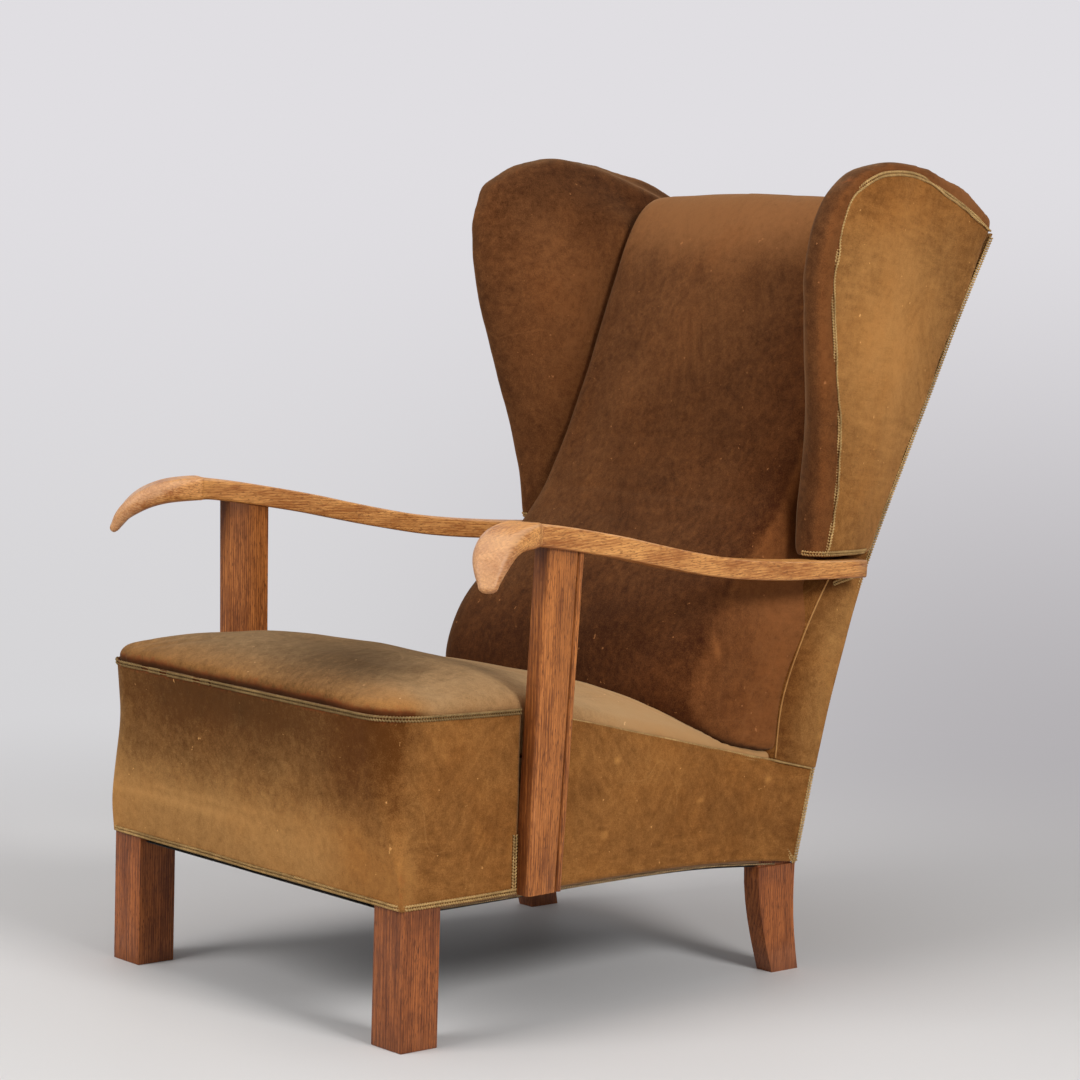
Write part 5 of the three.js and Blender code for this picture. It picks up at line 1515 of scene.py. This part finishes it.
class ARMCHAIR_OT_braid(bpy.types.Operator):
    """Gimp braid along the seat's edges, round the wings' panels and down the rear edges"""

    bl_idname = "armchair.braid"
    bl_label = "Braid"

    def execute(self, context):
        self.sizes = context.scene.armchair_sizes
        self.covers = covers_tree()
        self.tree = braid_tree()
        share = np.linspace(-0.998, 0.998, 400)
        x, y = front_outline(share, SEAT_EDGES[0][1])
        edge = seat_edge(np.maximum(0, y)) - BRAID_BELOW
        self.sew("front_top_braid", [placed(x, y, edge)], "front_braid", worn=True)
        x, y = front_outline(share, SEAT_BOTTOMS[0])
        lower = [placed(x, y, SEAT_BOTTOMS[0] + 0.004)]
        for side, sign in SIDES.items():
            y = np.linspace(POST_SPAN[1] + 0.004, 0.699, 120)
            edge = placed(sign * seat_side(y), y, seat_edge(y) - BRAID_BELOW)
            self.sew(f"side_top_braid_{side}", [edge], f"side_braid_{side}")
            y = np.linspace(POST_SPAN[1] + 0.004, rear_edge(0.142) - 0.002, 120)
            lower.append(placed(sign * seat_side(y), y, seat_bottom(y) + 0.004))
            z = np.linspace(0.172, 0.236, 20)
            lower.append(placed(sign * seat_side(POST_SPAN[0]), POST_SPAN[0] - 0.004 + 0 * z, z))
            z = np.linspace(0.144, 0.947, 200)
            rear = [placed(sign * (rear_half(z) - 0.001), rear_edge(z) - 0.004, z)]
            self.sew(f"rear_edge_braid_{side}", rear)
            self.wing(side, sign)
        self.sew("lower_braid", lower)
        return {"FINISHED"}

    def wing(self, side, sign):
        front = flowing(WING_BRAID, 6) * (sign, 1, 1)
        lower = flowing(WING_FOOT_BRAID, 6) * (sign, 1, 1)
        self.sew(f"wing_{side}_braid", [front, lower])
        self.sew(f"arm_end_{side}_braid", [flowing(ARM_END_BRAID, 6) * (sign, 1, 1)])

    def sew(self, name, paths, replaced=None, worn=False):
        points, rises, edges, gone = [], [], [], []
        for path in paths:
            laid_path, rise = laid(evened(path), self.covers, BRAID_LIFT)
            edges += [(len(points) + k, len(points) + k + 1) for k in range(len(laid_path) - 1)]
            points += list(laid_path)
            rises += list(rise)
            holes = lumps(laid_path, 0.02, 41) if worn else np.zeros(len(laid_path))
            left = fade(laid_path[:, 0], -0.16, 0.02)
            gone += list((holes * left > 0.12).astype(float))
        mesh = bpy.data.meshes.new(name)
        mesh.from_pydata([tuple(p) for p in points], edges, [])
        held = mesh.attributes.new("rise", "FLOAT_VECTOR", "POINT")
        held.data.foreach_set("vector", np.array(rises, np.float32).ravel())
        paint(mesh, gone=np.array(gone))
        holder = linked("braiding", mesh)
        braiding = holder.modifiers.new("braid", "NODES")
        braiding.node_group = self.tree
        wanted = {
            "Width": self.sizes.braid_width,
            "Stitch": self.sizes.braid_stitch,
            "Slant": self.sizes.braid_slant,
            "Finish": finishes()["gimp braid"],
        }
        for item in self.tree.interface.items_tree:
            if item.in_out == "INPUT" and item.name in wanted:
                braiding[item.identifier] = wanted[item.name]
        made = baked(holder)
        if not made.polygons:
            raise RuntimeError(f"{name} came out empty")
        made.name = name
        paint(made, soil=0.8 if worn else 0.1)
        return piece(name, made, "gimp braid", "braid", *([replaced] if replaced else []))


# Direction to the right of the view, and between which sines the backdrop changes across it and upward
VIEW_RIGHT = (0.66, 0.75, 0)
BACKDROP_ACROSS = (-0.12, 0.17)
BACKDROP_RISE = (-0.17, 0.03)
# Distances from the camera's place and from the chair over which the floor fades into the backdrop
FADE_FROM_CAMERA = (4.3, 6.2)
FADE_FROM_CHAIR = (3.2, 5.2)
FLOOR_RADIUS = 40.0
# Place, size in metres and power in watts of each round lamp, and the point that they face
LAMPS = {
    "front": ((-0.4, -3.8, 2.9), 2.4, 101),
    "side": ((4.1, -0.3, 2.8), 1.4, 131),
    "top": ((-0.2, -0.4, 4.2), 3.0, 34),
}
LAMP_AIM = (0, 0, 0.45)


class ARMCHAIR_OT_studio(bpy.types.Operator):
    """Camera, lamps, floor and backdrop"""

    bl_idname = "armchair.studio"
    bl_label = "Studio"

    def execute(self, context):
        studio = context.scene.armchair_studio
        lens = bpy.data.cameras.new("view")
        lens.lens, lens.sensor_width = studio.lens, 36
        lens.clip_start, lens.clip_end = 0.1, 100
        camera = linked("view", lens)
        turned = (
            Matrix.Rotation(studio.turn, 4, "Z")
            @ Matrix.Rotation(math.pi / 2 - studio.pitch, 4, "X")
            @ Matrix.Rotation(studio.roll, 4, "Z")
        )
        place = Vector((studio.camera_x, studio.camera_y, studio.camera_z))
        camera.matrix_world = Matrix.Translation(place) @ turned
        context.scene.camera = camera
        context.scene.view_settings.view_transform = "Standard"
        self.floor(studio)
        self.lamps()
        self.world(context, studio)
        return {"FINISHED"}

    def backdrop(self, shader, direction, studio):
        """The backdrop's colour in a direction from where the camera stands for the photograph."""
        across = shader.vector("DOT_PRODUCT", direction, VIEW_RIGHT, output="Value")
        height = shader.node("ShaderNodeSeparateXYZ", {}, {0: direction}, output="Z")
        shades = studio.backdrop_left, studio.backdrop_low, studio.backdrop
        left, right, top = (list(shade) for shade in shades)
        low = shader.blend(shader.between(across, *BACKDROP_ACROSS), left, right)
        return shader.blend(shader.between(height, *BACKDROP_RISE), low, top)

    def floor(self, studio):
        form = bmesh.new()
        bmesh.ops.create_circle(form, cap_ends=True, radius=FLOOR_RADIUS, segments=96)
        mesh = to_mesh(form, "floor")
        ground = Shader("floor")
        place = (studio.camera_x, studio.camera_y, studio.camera_z)
        coordinates = ground.node("ShaderNodeTexCoord", output="Object")
        away = ground.vector("SUBTRACT", coordinates, place)
        far = ground.between(ground.vector("LENGTH", away, output="Value"), *FADE_FROM_CAMERA)
        out = ground.between(ground.vector("LENGTH", coordinates, output="Value"), *FADE_FROM_CHAIR)
        direction = ground.vector("NORMALIZE", away)
        ground.set(Base_Color=list(studio.floor), Roughness=0.6, Specular_IOR_Level=0.1)
        tint = self.backdrop(ground, direction, studio)
        glow = ground.node("ShaderNodeEmission", {}, {"Color": tint, "Strength": 1.0})
        seen = far.maths("MAXIMUM", out) * ground.node("ShaderNodeLightPath", output="Is Camera Ray")
        lit = Socket(ground, ground.surface.outputs[0])
        ground.show(seen, lit, glow, ground.tree.nodes["Material Output"])
        mesh.materials.append(ground.material)
        linked("floor", mesh)

    def lamps(self):
        for name, (place, size, power) in LAMPS.items():
            lamp = bpy.data.lights.new(name, "AREA")
            lamp.shape, lamp.size, lamp.energy = "DISK", size, power
            made = linked(name, lamp)
            made.location = place
            aim = Vector(LAMP_AIM) - Vector(place)
            made.rotation_mode = "QUATERNION"
            made.rotation_quaternion = aim.to_track_quat("-Z", "Y")

    def world(self, context, studio):
        """Plain light all round, and a backdrop that only the camera and glossy or clear things see."""
        sky = Shader("studio", world=True)
        sky.tree.nodes.clear()
        path = sky.tree.nodes.new("ShaderNodeLightPath")
        seen = [Socket(sky, path.outputs[f"Is {kind} Ray"]) for kind in ("Camera", "Glossy", "Transmission")]
        tint = self.backdrop(sky, sky.node("ShaderNodeTexCoord", output="Generated"), studio)
        shown = sky.node("ShaderNodeBackground", {}, {"Color": tint, "Strength": 1.0})
        lit = sky.node("ShaderNodeBackground", {}, {"Color": (1.0, 0.99, 0.98, 1), "Strength": studio.fill})
        sky.show(seen[0] + seen[1] + seen[2], lit, shown, sky.tree.nodes.new("ShaderNodeOutputWorld"))
        context.scene.world = sky.material


class ARMCHAIR_PT_panel(bpy.types.Panel):
    """Lists the armchair's settings and the operators that build it"""

    bl_idname = "ARMCHAIR_PT_panel"
    bl_label = "Wingback Armchair"
    bl_space_type = "VIEW_3D"
    bl_region_type = "UI"
    bl_category = "Armchair"

    def draw(self, context):
        for operator in OPERATORS:
            self.layout.operator(operator.bl_idname)
        for family in GROUPS:
            group = getattr(context.scene, family)
            box = self.layout.box()
            for name in group.__annotations__:
                box.prop(group, name)


OPERATORS = (
    ARMCHAIR_OT_studio,
    ARMCHAIR_OT_frame,
    ARMCHAIR_OT_legs,
    ARMCHAIR_OT_arms,
    ARMCHAIR_OT_posts,
    ARMCHAIR_OT_seat,
    ARMCHAIR_OT_seat_sides,
    ARMCHAIR_OT_back,
    ARMCHAIR_OT_wings,
    ARMCHAIR_OT_side_panels,
    ARMCHAIR_OT_inner_cloth,
    ARMCHAIR_OT_braid,
)
GROUPS = {
    "armchair_sizes": ArmchairSizes,
    "armchair_colours": ArmchairColours,
    "armchair_studio": ArmchairStudio,
}


def register():
    for kind in (*GROUPS.values(), *OPERATORS, ARMCHAIR_PT_panel):
        bpy.utils.register_class(kind)
    for name, group in GROUPS.items():
        setattr(bpy.types.Scene, name, bpy.props.PointerProperty(type=group))


def unregister():
    for name in GROUPS:
        delattr(bpy.types.Scene, name)
    for kind in (ARMCHAIR_PT_panel, *reversed(OPERATORS), *reversed(list(GROUPS.values()))):
        bpy.utils.unregister_class(kind)


def main():
    register()
    for operator in OPERATORS:
        family, name = operator.bl_idname.split(".")
        if getattr(getattr(bpy.ops, family), name)() != {"FINISHED"}:
            raise RuntimeError(f"{operator.bl_idname} did not finish")


if __name__ == "__main__":
    main()
